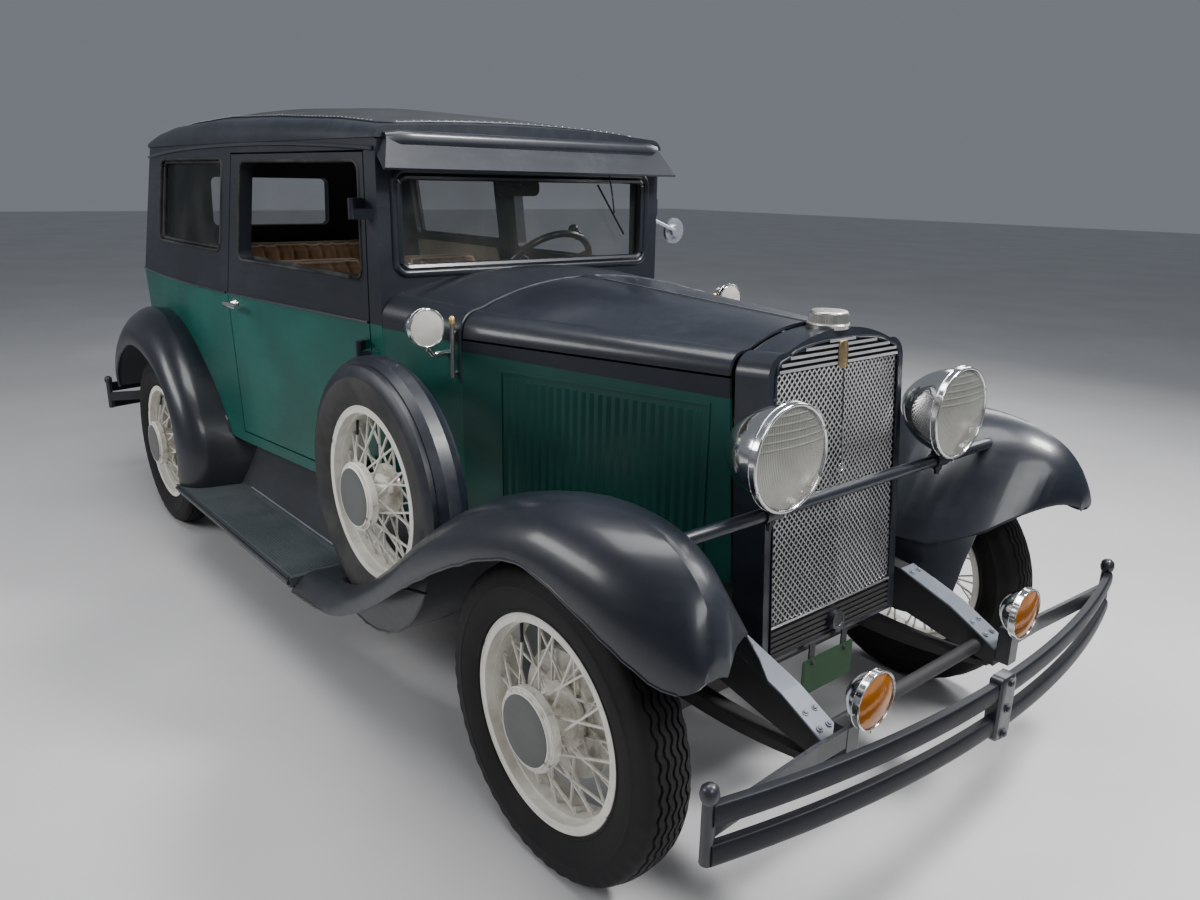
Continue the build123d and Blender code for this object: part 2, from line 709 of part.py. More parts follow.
def roof_arch(row, inset, drop):
    """Cross section of the roof with round shoulders."""
    x, half, middle, shoulder, radius = row
    half -= inset
    middle -= drop
    shoulder -= drop
    turn = radius * (1 - math.sqrt(0.5))
    foot = 1500.0
    edges = Polyline(
        (x, -half, shoulder - radius), (x, -half, foot), (x, half, foot), (x, half, shoulder - radius)
    )
    edges += ThreePointArc(
        (x, half, shoulder - radius), (x, half - turn, shoulder - turn), (x, half - radius, shoulder)
    )
    edges += ThreePointArc((x, half - radius, shoulder), (x, 0, middle), (x, radius - half, shoulder))
    edges += ThreePointArc(
        (x, radius - half, shoulder), (x, turn - half, shoulder - turn), (x, -half, shoulder - radius)
    )
    return make_face(edges)


def roof_form(inset, drop):
    """Roof form, moved in by inset and lowered by drop."""
    plan = extrude(level_face(BODY_LEVELS[2], inset - ROOF_LAP), amount=250, dir=(0, 0, 1))
    return plan & loft([roof_arch(row, inset, drop) for row in ROOF_ARCHES], ruled=True)


VISOR_OUTLINE = ((460.3, 1656.0), (474.0, 1656.0), (542.0, 1556.0), (538.0, 1550.0), (460.3, 1592.0))
VISOR_HOLLOW = ((440.0, 1640.0), (478.9, 1640.0), (537.9, 1553.2), (534.0, 1540.0), (440.0, 1540.0))
VISOR_TOP = (520.0, 1660.0)
VISOR_LOW = (572.0, 1545.0)


def visor_front(inset):
    """Front outline of the sun visor, moved in by inset."""
    (top_y, top_z), (low_y, low_z) = VISOR_TOP, VISOR_LOW
    outline = [(inset - low_y, low_z), (low_y - inset, low_z), (top_y - inset, top_z), (inset - top_y, top_z)]
    return prism_yz(outline, 400, 600)


def make_roof():
    """Arched roof with its header and the outside sun visor."""
    roof = roof_form(0, 0) - roof_form(WALL, ROOF_T)
    reach = VISOR_LOW[0]
    visor = prism_xz(VISOR_OUTLINE, -reach, reach) & visor_front(0)
    visor = visor - (prism_xz(VISOR_HOLLOW, -reach, reach) & visor_front(VISOR_T))
    save("roof", largest(roof.fuse(visor)))


def make_floor():
    """Floor boards, stepped over the rear axle."""
    half = 485.0
    floor = prism_xz([
        (728, FRAME_TOP), (-745, FRAME_TOP), (-945, KICK_TOP), (-1640, KICK_TOP), (-1640, KICK_TOP + 15),
        (-955, KICK_TOP + 15), (-755, FRAME_TOP + 15), (728, FRAME_TOP + 15)
    ], -half, half)
    tunnel_cut = box(500, 900, -120, 120, 540, 600)
    save("floor", floor - tunnel_cut)


def cushion(x0, x1, y0, y1, z0, z1, radius):
    """Plain closed cushion with round edges along Y."""
    return fillet(box(x0, x1, y0, y1, z0, z1).edges().filter_by(Axis.Y), radius)


def make_seats():
    """Two front seats and a rear bench, each a cushion and a back."""
    pieces = []
    floor_z = FRAME_TOP + 15 + SEAT_GAP
    for y0, y1 in ((70, 480), (-480, -70)):
        pieces.append(cushion(-560, -60, y0, y1, floor_z, 850, 40))
        pieces.append(cushion(-700, -560 - SEAT_GAP, y0, y1, floor_z + 40, 1240, 45))
        pieces.append(box(-700, -600, y0 + 60, y1 - 60, floor_z, floor_z + 40 - SEAT_GAP))
    rear_z = KICK_TOP + 15 + SEAT_GAP
    pieces.append(cushion(-1560, -1010, -540, 540, rear_z, 880, 40))
    pieces.append(cushion(-1740, -1560 - SEAT_GAP, -480, 480, rear_z + 20, 1240, 45))
    found = []
    for piece in pieces:
        found.extend(solids_of(piece))
    save("seats", found)


# Bonnet, cowl and radiator

NOSE_SECTIONS = (
    # x, half width, shoulder half width, shoulder z, round end half width, round end z, middle z
    (1720.0, 238.0, SHOULDER_Z + 8, 186.0, 1160.0, 1205.0),
    (COWL_SIDE_X, COWL_SIDE_Y, SHOULDER_Z + 4, 430.0, 1178.0, 1244.0),
    (BODY_FRONT_X, 557.0, SHOULDER_Z + 2, 490.0, 1196.0, 1258.0),
)


def nose_face(section, inset, low_z):
    """Cross section of the bonnet and cowl, moved in by inset."""
    x, half, side_z, turn_y, turn_z, top_z = section
    half -= inset
    turn_y -= inset * 0.7
    turn_z -= inset * 0.9
    top_z -= inset
    mid = (half - (half - turn_y) * 0.27, (side_z + turn_z) / 2 + (turn_z - side_z) * 0.22)
    edges = Line((x, -half, low_z), (x, half, low_z))
    edges += Line((x, half, low_z), (x, half, side_z))
    edges += ThreePointArc((x, half, side_z), (x, mid[0], mid[1]), (x, turn_y, turn_z))
    edges += ThreePointArc((x, turn_y, turn_z), (x, 0, top_z), (x, -turn_y, turn_z))
    edges += ThreePointArc((x, -turn_y, turn_z), (x, -mid[0], mid[1]), (x, -half, side_z))
    edges += Line((x, -half, side_z), (x, -half, low_z))
    return make_face(edges)


def nose_form(inset, low_z, first, last):
    """Form of the bonnet or cowl between two sections of the table."""
    return loft([nose_face(section, inset, low_z) for section in NOSE_SECTIONS[first:last]], ruled=True)


def behind_joint(shift):
    """Plan area behind the bowed joint between bonnet and cowl, moved forward by shift."""
    side = 700.0
    bow = (COWL_SIDE_X - COWL_CENTRE_X) * (side / COWL_SIDE_Y) ** 2
    front = COWL_CENTRE_X + shift
    edges = ThreePointArc((front + bow, side, 300), (front, 0, 300), (front + bow, -side, 300))
    edges += Polyline((front + bow, -side, 300), (0, -side, 300), (0, side, 300), (front + bow, side, 300))
    return extrude(make_face(edges), amount=1200, dir=(0, 0, 1))


def radiator_plane(back):
    """Leaning plane of the radiator's face, moved back."""
    lean = math.radians(RADIATOR_LEAN)
    normal = Vector(math.cos(lean), 0, math.sin(lean))
    origin = Vector(RADIATOR_FOOT[0], 0, RADIATOR_FOOT[1]) - normal * back
    return Plane(origin=origin, x_dir=(0, 1, 0), z_dir=normal)


def radiator_outline(border, low):
    """Outline of the radiator shell, moved in by border, in its leaning plane."""
    wide = SHELL_HALF_W_LOW - border
    top = SHELL_HALF_W_TOP - border
    shoulder = SHELL_SHOULDER_H
    radius = SHELL_CORNER_R - border * 0.5
    peak = SHELL_TOP_H - border
    turn_y = top - radius
    turn_z = shoulder + radius * 0.82
    mid = (top - radius * 0.27, shoulder + radius * 0.58)
    edges = Line((-wide, low), (wide, low))
    edges += Line((wide, low), (top, shoulder))
    edges += ThreePointArc((top, shoulder), mid, (turn_y, turn_z))
    edges += ThreePointArc((turn_y, turn_z), (0, peak), (-turn_y, turn_z))
    edges += ThreePointArc((-turn_y, turn_z), (-mid[0], mid[1]), (-top, shoulder))
    edges += Line((-top, shoulder), (-wide, low))
    return make_face(edges)


def radiator_slab(border, low, back, depth):
    """Slab of the radiator outline, from back to back plus depth."""
    return extrude(radiator_plane(back + depth) * radiator_outline(border, low), amount=depth)


def make_radiator():
    """Radiator shell with its core, the stone guard with slats, and the filler cap."""
    shell = radiator_slab(0, 0, 0, SHELL_DEPTH)
    recess = radiator_slab(SHELL_BORDER, 10, -1, 51)
    shell = shell - recess
    cap_x, cap_z = 1662.0, 1204.0
    neck = Pos(cap_x, 0, cap_z) * Cylinder(CAP_R - 8, 24)
    save("radiator_shell", shell.fuse(neck))

    hole = radiator_slab(SHELL_BORDER, 10, 0, 49)
    plate = radiator_slab(SHELL_BORDER, 10, GUARD_RECESS, GUARD_T)
    crease = radiator_plane(GUARD_RECESS) * Pos(0, 60, 0) * extrude(
        Plane.XZ * make_face(Polyline((-16, 0), (0, GUARD_CREASE), (16, 0), close=True)), amount=-580
    )
    guard = plate.fuse(crease & hole)
    for index in range(TOP_SLATS):
        height = SHELL_SHOULDER_H + 10 + SLAT_PITCH * index
        guard = guard.fuse(slat(height, 12) & hole)
    for index in range(LOW_SLATS):
        height = 16 + SLAT_PITCH * index
        guard = guard.fuse(slat(height, 12) & hole)
    band = slat(SLAT_PITCH * LOW_SLATS + 20, 9)
    boss = radiator_plane(GUARD_RECESS) * Pos(0, 46, 0) * extrude(Circle(24), amount=26)
    save("stone_guard", guard.fuse(band & hole, boss))

    cap = Pos(cap_x, 0, cap_z + 12 + CAP_H / 2) * Cylinder(CAP_R, CAP_H)
    save("radiator_cap", fillet(cap.edges().filter_by(GeomType.CIRCLE).sort_by(Axis.Z)[-1], 7))


def slat(height, out):
    """Horizontal slat of the radiator opening."""
    bar = Pos(0, height, out / 2) * Box(2 * SHELL_HALF_W_LOW, SLAT_H, out)
    return radiator_plane(GUARD_RECESS) * bar


def make_nose():
    """Cowl with firewall and dash, bonnet tops and louvred bonnet sides."""
    reach = behind_joint(0)
    outer = nose_form(0, SILL_Z, 0, 3) & reach
    firewall_back = behind_joint(-SKIN)
    inner = nose_form(SKIN, SILL_Z - 50, 0, 3) & firewall_back
    cowl = largest(outer - inner)
    dash = box(BODY_FRONT_X, BODY_FRONT_X + 14, -545, 545, 1010, 1200) & nose_form(2, SILL_Z, 0, 3)
    cowl = cowl.fuse(dash)
    cowl = cowl - column_way() - box(700, 850, -135, 135, SILL_Z - 60, 720)
    cowl = cowl - box(600, 860, -485, 485, SILL_Z - 60, FRAME_TOP)
    cowl = cowl.fuse(centre_rod())
    save("cowl", largest(cowl))

    front = extrude(radiator_plane(SHELL_DEPTH + BONNET_FRONT_GAP) * Rectangle(3000, 3000), amount=-1200)
    skin = (nose_form(0, BONNET_BOTTOM_Z, 0, 3) - nose_form(BONNET_T, BONNET_BOTTOM_Z - 50, 0, 3)) & front
    top = largest((skin - behind_joint(BONNET_GAP)) & box(600, 1800, CENTRE_ROD_R + 0.6, 700, SHOULDER_Z, 1300))
    save("bonnet_left", top)
    save("bonnet_right", other_side(top))
    side_band = box(600, 1800, 100, 700, BONNET_BOTTOM_Z, SHOULDER_Z - BONNET_GAP)
    side = largest((skin - behind_joint(SEAT_GAP)) & side_band)
    for index in range(LOUVRES):
        side = side.fuse(louvre(LOUVRE_FRONT_X - LOUVRE_PITCH * index))
    side = side.fuse(*louvre_border())
    save("bonnet_sides", both_sides(largest(side)))


def centre_z(x):
    """Height of the bonnet's centre line at x."""
    front, rear = NOSE_SECTIONS[0], NOSE_SECTIONS[1]
    return front[-1] + (rear[-1] - front[-1]) * (front[0] - x) / (front[0] - rear[0])


def centre_rod():
    """Hinge rod of the bonnet, from the cowl to the radiator shell."""
    start, end = COWL_CENTRE_X - 12, BONNET_FRONT_X + 8
    bar = rod((start, 0, centre_z(start) - 1), (end, 0, centre_z(end) - 1), CENTRE_ROD_R)
    return bar - radiator_slab(0, 0, 0, SHELL_DEPTH + SEAT_GAP)


def bonnet_half_width(x):
    """Half width of the bonnet's flat side at x."""
    front, rear = NOSE_SECTIONS[0], NOSE_SECTIONS[1]
    return front[1] + (rear[1] - front[1]) * (front[0] - x) / (front[0] - rear[0])


def louvre(x):
    """Raised louvre on the left bonnet side, open edge rearwards."""
    y = bonnet_half_width(x) - 2
    back_y = bonnet_half_width(x - LOUVRE_W) - 2
    return prism_xy([(x, y), (x - LOUVRE_W, back_y + LOUVRE_OUT), (x - LOUVRE_W, back_y)],
                    LOUVRE_LOW_Z, LOUVRE_HIGH_Z)


def louvre_border():
    """Thin raised border round the louvres of the left side."""
    front = LOUVRE_FRONT_X + BORDER_GAP
    rear = LOUVRE_FRONT_X - LOUVRE_PITCH * (LOUVRES - 1) - LOUVRE_W - BORDER_GAP
    low = LOUVRE_LOW_Z - BORDER_GAP
    high = LOUVRE_HIGH_Z + BORDER_GAP
    strips = []
    for x0, x1, z0, z1 in (
        (front, rear, low - BORDER_W, low), (front, rear, high, high + BORDER_W),
        (front, front - BORDER_W, low, high), (rear + BORDER_W, rear, low, high)
    ):
        y0, y1 = bonnet_half_width(x0), bonnet_half_width(x1)
        plan = [(x0, y0 - 2), (x0, y0 + BORDER_OUT), (x1, y1 + BORDER_OUT), (x1, y1 - 2)]
        strips.append(prism_xy(plan, z0, z1))
    return strips


# Steering

def column_axis():
    """Unit vector up the steering column towards the driver."""
    tilt = math.radians(COLUMN_ANGLE)
    return Vector(-math.cos(tilt), 0, math.sin(tilt))


def column_way():
    """Clearance hole for the column through the firewall."""
    centre = Vector(*STEER_CENTRE)
    low = centre - column_axis() * COLUMN_LEN
    return rod(tuple(centre), tuple(low), COLUMN_R + COLUMN_GAP)


def make_steering():
    """Column with its box on the frame, and the steering wheel."""
    centre = Vector(*STEER_CENTRE)
    axis = column_axis()
    top = centre - axis * 30
    low = centre - axis * COLUMN_LEN
    column = rod(tuple(top), tuple(low), COLUMN_R)
    gear = box(low.X - 60, low.X + 60, centre.Y - 30, 395, FRAME_TOP, low.Z + 45)
    save("steering_column", column.fuse(gear))

    plane = Plane(origin=centre, x_dir=(0, 1, 0), z_dir=axis)
    ring = plane * Torus(STEER_WHEEL_R - STEER_RIM_R, STEER_RIM_R)
    boss_plane = Plane(origin=centre - axis * (30 - SEAT_GAP), x_dir=(0, 1, 0), z_dir=axis)
    boss = extrude(boss_plane * Circle(34), amount=44)
    wheel = ring.fuse(boss)
    for angle in (90, 210, 330):
        turn = math.radians(angle)
        out = Vector(math.cos(turn), math.sin(turn), 0)
        end = plane.from_local_coords(out * (STEER_WHEEL_R - STEER_RIM_R))
        wheel = wheel.fuse(beam(tuple(centre), tuple(end), tuple(axis), SPOKE_BAR_T, 2 * SPOKE_BAR_T))
    knob = rod(
        tuple(plane.from_local_coords((60, STEER_WHEEL_R - 26, 8))),
        tuple(plane.from_local_coords((60, STEER_WHEEL_R - 26, 44))), 17
    )
    save("steering_wheel", largest(wheel.fuse(knob)))


def knuckle():
    """Left steering knuckle: kingpin, lugs, spindle, backplate and steering arm."""
    x, y, z = FRONT_AXLE_X, KINGPIN_Y, WHEEL_Z
    pin = Pos(x, y, z) * Cylinder(KINGPIN_R, 2 * (EYE_HALF_H + LUG_T))
    lug_z = EYE_HALF_H + LUG_GAP + LUG_T / 2
    inner = HALF_TRACK + DRUM_INNER_Y - BACKPLATE_GAP
    carrier_y = y + EYE_R + LUG_GAP + 4
    parts = []
    for side in (1, -1):
        lug = z + side * lug_z
        parts.append(Pos(x, y, lug) * Cylinder(EYE_R, LUG_T))
        parts.append(box(x - 24, x + 24, y, carrier_y + 8, lug - LUG_T / 2, lug + LUG_T / 2))
    parts.append(box(x - 30, x + 30, carrier_y, inner - 1, z - lug_z - LUG_T / 2, z + lug_z + LUG_T / 2))
    parts.append(rod((x, inner - BACKPLATE_T, z), (x, inner, z), BACKPLATE_R))
    parts.append(rod((x, carrier_y, z), (x, HALF_TRACK + SPINDLE_END_Y - 2, z), SPINDLE_R))
    arm_top = STEER_ARM_Z + TIE_EYE_H / 2 + 16
    arm_low = STEER_ARM_Z + TIE_EYE_H / 2 + SEAT_GAP
    parts.append(box(x - 30, x + 20, y - 10, carrier_y + 8, arm_low, z - lug_z))
    parts.append(prism_xy([
        (x, y - 14), (x, y + 14), (x - STEER_ARM, y + 12), (x - STEER_ARM, y - 12)
    ], arm_low, arm_top))
    parts.append(Pos(x - STEER_ARM, y, (arm_low + arm_top) / 2) * Cylinder(16, arm_top - arm_low))
    parts.append(Pos(x - STEER_ARM, y, STEER_ARM_Z + 3) * Cylinder(STEER_PIN_R, TIE_EYE_H + 18))
    return largest(pin.fuse(*parts))


def make_knuckles():
    """Two knuckles and the tie rod behind the axle."""
    left = knuckle()
    save("knuckle_left", left)
    save("knuckle_right", other_side(left))
    x, z = FRONT_AXLE_X - STEER_ARM, STEER_ARM_Z
    tie = rod((x, -KINGPIN_Y, z), (x, KINGPIN_Y, z), TIE_ROD_R)
    for y in (-KINGPIN_Y, KINGPIN_Y):
        tie = tie.fuse(Pos(x, y, z) * Cylinder(TIE_EYE_R, TIE_EYE_H))
    for y in (-KINGPIN_Y, KINGPIN_Y):
        tie = tie - Pos(x, y, z) * Cylinder(STEER_PIN_R + RUN_FIT, 3 * TIE_EYE_H)
    save("tie_rod", tie)


# Fenders and running boards

FRONT_FENDER = (
    # x, crown z, outer edge y, outer edge z, crown y, inner shoulder y, inner shoulder z, foot y, foot z
    (BOARD_FRONT_X + SEAT_GAP, 322.0, 860.0, 272.0, 748.0, 690.0, 320.0, 640.0, 312.0),
    (640.0, 374.0, 860.0, 306.0, 742.0, 680.0, 368.0, 612.0, 350.0),
    (880.0, 520.0, 858.0, 416.0, 732.0, 652.0, 498.0, 545.0, 468.0),
    (1120.0, 712.0, 856.0, 574.0, 722.0, 612.0, 672.0, 472.0, 590.0),
    (1340.0, 838.0, 854.0, 700.0, 716.0, 582.0, 786.0, 412.0, 636.0),
    (1560.0, 904.0, 852.0, 786.0, 712.0, 562.0, 842.0, 374.0, 600.0),
    (1720.0, 917.0, 848.0, 762.0, 712.0, 566.0, 850.0, 382.0, 586.0),
    (1850.0, 902.0, 834.0, 708.0, 716.0, 590.0, 830.0, 450.0, 620.0),
    (1940.0, 864.0, 812.0, 668.0, 724.0, 632.0, 806.0, 560.0, 690.0),
    (1990.0, 818.0, 796.0, 664.0, 732.0, 664.0, 776.0, 640.0, 716.0),
    (2018.0, 766.0, 782.0, 676.0, 738.0, 690.0, 742.0, 682.0, 712.0),
    (2030.0, 726.0, 768.0, 694.0, 742.0, 706.0, 718.0, 702.0, 704.0),
)
FENDER_STEPS = 3
STEEP_LIMIT = 4.0


def eased(table, steps):
    """Rows between the rows of a table, so that each column runs smoothly."""
    rows = []
    for index in range(len(table) - 1):
        before = table[max(index - 1, 0)]
        start, end = table[index], table[index + 1]
        after = table[min(index + 2, len(table) - 1)]
        for step in range(steps):
            t = step / steps
            rows.append(tuple(
                b + 0.5 * t * (c - a + t * (2 * a - 5 * b + 4 * c - d + t * (3 * (b - c) + d - a)))
                for a, b, c, d in zip(before, start, end, after)
            ))
    rows.append(table[-1])
    return rows


def fender_form(thickness, rows):
    """Front fender through the eased rows, thicker down where the crown is steep."""
    sections = []
    for index, row in enumerate(rows):
        ahead = rows[min(index + 1, len(rows) - 1)]
        behind = rows[max(index - 1, 0)]
        slope = (ahead[1] - behind[1]) / (ahead[0] - behind[0])
        sections.append(fender_section(row, thickness * min(math.hypot(1.0, slope), STEEP_LIMIT)))
    return loft(sections, ruled=True)


def fender_section(row, thickness):
    """Thin crowned cross section of the front fender."""
    x, crown_z, out_y, out_z, crown_y, in_y, in_z, foot_y, foot_z = row
    t = thickness
    side = FENDER_T
    mid_y = crown_y + (out_y - crown_y) * 0.76
    mid_z = crown_z - (crown_z - out_z) * 0.34
    top_y = (crown_y + in_y) / 2
    top_z = crown_z - (crown_z - in_z) * 0.24
    edges = ThreePointArc((x, out_y, out_z), (x, mid_y, mid_z), (x, crown_y, crown_z))
    edges += ThreePointArc((x, crown_y, crown_z), (x, top_y, top_z), (x, in_y, in_z))
    edges += Line((x, in_y, in_z), (x, foot_y, foot_z))
    edges += Line((x, foot_y, foot_z), (x, foot_y + side * 0.3, foot_z - side))
    edges += Line((x, foot_y + side * 0.3, foot_z - side), (x, in_y + side * 0.3, in_z - t))
    edges += ThreePointArc((x, in_y + side * 0.3, in_z - t), (x, top_y, top_z - t), (x, crown_y, crown_z - t))
    edges += ThreePointArc(
        (x, crown_y, crown_z - t), (x, mid_y - side * 0.7, mid_z - t * 0.7), (x, out_y - side, out_z)
    )
    edges += Line((x, out_y - side, out_z), (x, out_y, out_z))
    return make_face(edges)


def well(gap):
    """Cylinder that the spare sits in."""
    y0, y1 = SPARE_Y - TYRE_HALF_W - gap - 8, SPARE_Y + TYRE_HALF_W + gap + 8
    return rod((SPARE_X, y0, SPARE_Z), (SPARE_X, y1, SPARE_Z), COVER_R + gap)


def make_front_fenders():
    """Front fenders with the wells for the spare wheels."""
    rows = eased(FRONT_FENDER, FENDER_STEPS)
    form = fender_form(FENDER_T, rows)
    fender = largest(form - nose_form(-SEAT_GAP, 250, 0, 3))
    fender = largest(fender - well(SEAT_GAP + WELL_T / 2))
    pan = well(SEAT_GAP + WELL_T) - well(SEAT_GAP)
    line = [(row[0], row[1] - FENDER_T) for row in rows if row[0] < 1150]
    below = prism_xz([(BOARD_FRONT_X, 200)] + line + [(1150, 200)], 500, 900)
    below = below - box(BOARD_FRONT_X - 200, BOARD_FRONT_X + SEAT_GAP, 600, 900, 200, 330)
    pan = largest(pan & below)
    fender = fender.fuse(pan)
    save("front_fenders", both_sides(largest(fender)))


REAR_FENDER = (
    # angle from +X, crown radius, outer edge radius, outer edge y, radius at the body
    (-9.0, 600.0, 492.0, 852.0, 660.0),
    (12.0, 606.0, 494.0, 851.0, 640.0),
    (30.0, 592.0, 506.0, 849.0, 585.0),
    (50.0, 584.0, 478.0, 847.0, 535.0),
    (70.0, 594.0, 448.0, 846.0, 532.0),
    (95.0, 602.0, 442.0, 845.0, 560.0),
    (120.0, 606.0, 454.0, 842.0, 590.0),
    (142.0, 622.0, 500.0, 836.0, 616.0),
    (158.0, 656.0, 582.0, 816.0, 650.0),
    (168.0, 690.0, 660.0, 790.0, 688.0),
)
REAR_CROWN_Y = 742.0
REAR_INNER_Y = 570.0


def rear_fender_section(row, thickness):
    """Thin crowned cross section of the rear fender in a plane through the wheel's axis."""
    angle, crown_r, edge_r, edge_y, inner_r = row
    turn = math.radians(angle)
    out = Vector(math.cos(turn), 0, math.sin(turn))
    centre = Vector(REAR_AXLE_X, 0, WHEEL_Z)

    def at(y, r):
        return tuple(centre + out * r + Vector(0, y, 0))

    t = thickness
    crown_y = REAR_CROWN_Y
    mid_y = crown_y + (edge_y - crown_y) * 0.76
    mid_r = crown_r - (crown_r - edge_r) * 0.34
    slope_y = (crown_y + REAR_INNER_Y) / 2
    slope_r = (crown_r + inner_r) / 2 + (crown_r - inner_r) * 0.16
    edges = ThreePointArc(at(edge_y, edge_r), at(mid_y, mid_r), at(crown_y, crown_r))
    edges += Polyline(at(crown_y, crown_r), at(slope_y, slope_r), at(REAR_INNER_Y, inner_r),
                      at(REAR_INNER_Y, inner_r - t), at(slope_y, slope_r - t), at(crown_y, crown_r - t))
    edges += ThreePointArc(
        at(crown_y, crown_r - t), at(mid_y - t * 0.6, mid_r - t * 0.7), at(edge_y - t, edge_r)
    )
    edges += Line(at(edge_y - t, edge_r), at(edge_y, edge_r))
    return make_face(edges)


def apron_inside(gap):
    """Space inboard of the apron's outer face, grown by gap."""
    low_y = BOARD_IN_Y + APRON_T + gap
    high_y = RAIL_REAR_Y + 100 + gap
    return prism_yz([
        (300, 100), (low_y, 100), (low_y, BOARD_TOP_Z), (high_y, SILL_Z), (300, SILL_Z)
    ], -2300, 0)


def rear_fender():
    """Left rear fender, fitted to the body's side, the apron and the running board."""
    rows = eased(REAR_FENDER, FENDER_STEPS)
    form = loft([rear_fender_section(row, FENDER_T) for row in rows], ruled=True)
    form = form - body_form(-SEAT_GAP) - apron_inside(SEAT_GAP)
    return largest(form - box(-1000, 0, 300, 1000, 0, BOARD_TOP_Z - MAT_T + SEAT_GAP))


def make_rear_fenders():
    """Rear fenders on both sides."""
    save("rear_fenders", both_sides(rear_fender()))


def make_boards():
    """Running boards with their rubber mats and side aprons."""
    base = BOARD_TOP_Z - MAT_T
    board = box(BOARD_REAR_X, BOARD_FRONT_X, BOARD_IN_Y, BOARD_OUT_Y, BOARD_TOP_Z - BOARD_T, base)
    mat = box(MAT_REAR_X, BOARD_FRONT_X, BOARD_IN_Y, BOARD_OUT_Y, base, BOARD_TOP_Z)
    apron = prism_yz([
        (BOARD_IN_Y, BOARD_TOP_Z - BOARD_T), (BOARD_IN_Y + APRON_T, BOARD_TOP_Z - BOARD_T),
        (BOARD_IN_Y + APRON_T, BOARD_TOP_Z),
        (RAIL_REAR_Y + 100, SILL_Z - SEAT_GAP), (RAIL_REAR_Y + 100 - APRON_T, SILL_Z - SEAT_GAP)
    ], BOARD_REAR_X, BOARD_FRONT_X)
    parts = [board, mat, apron]
    rail_y = RAIL_REAR_Y + RAIL_W / 2 + SEAT_GAP
    under = BOARD_TOP_Z - BOARD_T
    for x in (150, -520):
        parts.append(prism_yz([
            (rail_y, FRAME_BOTTOM + 10), (rail_y, FRAME_BOTTOM + 50), (BOARD_IN_Y - 30, under + 20),
            (BOARD_IN_Y + 10, under + 6), (800, under + 6), (800, under - 10), (BOARD_IN_Y, under - 24)
        ], x - 20, x + 20))
    whole = parts[0].fuse(*parts[1:])
    save("running_boards", both_sides(whole))


# Lamps, bumpers and small pieces

def lamp_turned(radius, depth, tail, dome):
    """Bowl lamp turned about X, lens forward, with its face at the origin."""
    edges = ThreePointArc((dome, 0, 0), (dome * 0.78, 0, radius * 0.5), (0, 0, radius * 0.93))
    edges += Polyline((0, 0, radius * 0.93), (3, 0, radius), (-10, 0, radius), (-14, 0, radius * 0.93))
    edges += ThreePointArc(
        (-14, 0, radius * 0.93), (-depth * 0.55, 0, radius * 0.76), (-depth * 0.94, 0, tail)
    )
    edges += Polyline((-depth * 0.94, 0, tail), (-depth, 0, tail * 0.6), (-depth, 0, 0), (dome, 0, 0))
    return revolve(make_face(edges), axis=Axis.X)


def make_lamps():
    """Headlamps on their cross bar, and the cowl, fog and tail lamps."""
    x, y, z = HEADLAMP
    bowl = Pos(x, y, z) * lamp_turned(HEADLAMP_R, HEADLAMP_DEPTH, 34, 12)
    stand = rod((LAMP_BAR_X, y, LAMP_BAR_Z + LAMP_BAR_R - 1), (LAMP_BAR_X, y, z - 60), 16)
    bar = rod((LAMP_BAR_X, -620, LAMP_BAR_Z), (LAMP_BAR_X, 620, LAMP_BAR_Z), LAMP_BAR_R)
    rows = [row for row in eased(FRONT_FENDER, FENDER_STEPS) if 1600 < row[0] < 1960]
    fender = fender_form(FENDER_T * 8, rows)
    bar = bar - fender - other_side(fender)
    save("lamp_bar", largest(bar))
    lamp = (bowl.fuse(stand)) - rod((LAMP_BAR_X, 0, LAMP_BAR_Z), (LAMP_BAR_X, 620, LAMP_BAR_Z), LAMP_BAR_R)
    save("headlamps", both_sides(largest(lamp)))

    x, y, z = FOG_LAMP
    fog = Pos(x, y, z) * lamp_turned(FOG_LAMP_R, FOG_LAMP_DEPTH, 18, 8)
    post = rod((x - 34, y + 10, z - 30), (x - 34, y + 10, IRON_Z + BAR_H / 2 + SEAT_GAP), 9)
    fog = fog.fuse(post)
    x, y, z = COWL_LAMP
    cowl_lamp = Pos(x, y, z) * lamp_turned(COWL_LAMP_R, COWL_LAMP_DEPTH, 18, 6)
    arm = rod((x - 40, y, z - 30), (x - 40, y - 40, z - 82), 9)
    foot = rod((x - 40, y - 40, z - 82), (x - 40, y - 120, z - 82), 9)
    cowl_lamp = cowl_lamp.fuse(arm, foot) - nose_form(-SEAT_GAP, 300, 0, 3)
    tail = Pos(-1985, 620, 760) * lamp_turned(42, 60, 16, 6).rotate(Axis.Z, 180)
    tail_arm = rod((-1950, 620, 750), (-1830, 700, 650), 8)
    tail = largest(tail.fuse(tail_arm) - rear_fender())
    pieces = both_sides(largest(fog)) + both_sides(largest(cowl_lamp)) + both_sides(largest(tail))
    save("small_lamps", pieces)


def bumper_bar(z):
    """Bowed flat bar of the bumper at height z."""
    tip = BUMPER_END_X
    bow = BUMPER_X - BAR_T
    outer = ThreePointArc((tip + BAR_T, -BUMPER_END_Y, z), (bow + BAR_T, 0, z), (tip + BAR_T, BUMPER_END_Y, z))
    inner = ThreePointArc((tip, -BUMPER_END_Y, z), (bow, 0, z), (tip, BUMPER_END_Y, z))
    ends = Line((tip, -BUMPER_END_Y, z), (tip + BAR_T, -BUMPER_END_Y, z))
    ends += Line((tip, BUMPER_END_Y, z), (tip + BAR_T, BUMPER_END_Y, z))
    return Pos(0, 0, -BAR_H / 2) * extrude(make_face(outer + inner + ends), amount=BAR_H, dir=(0, 0, 1))


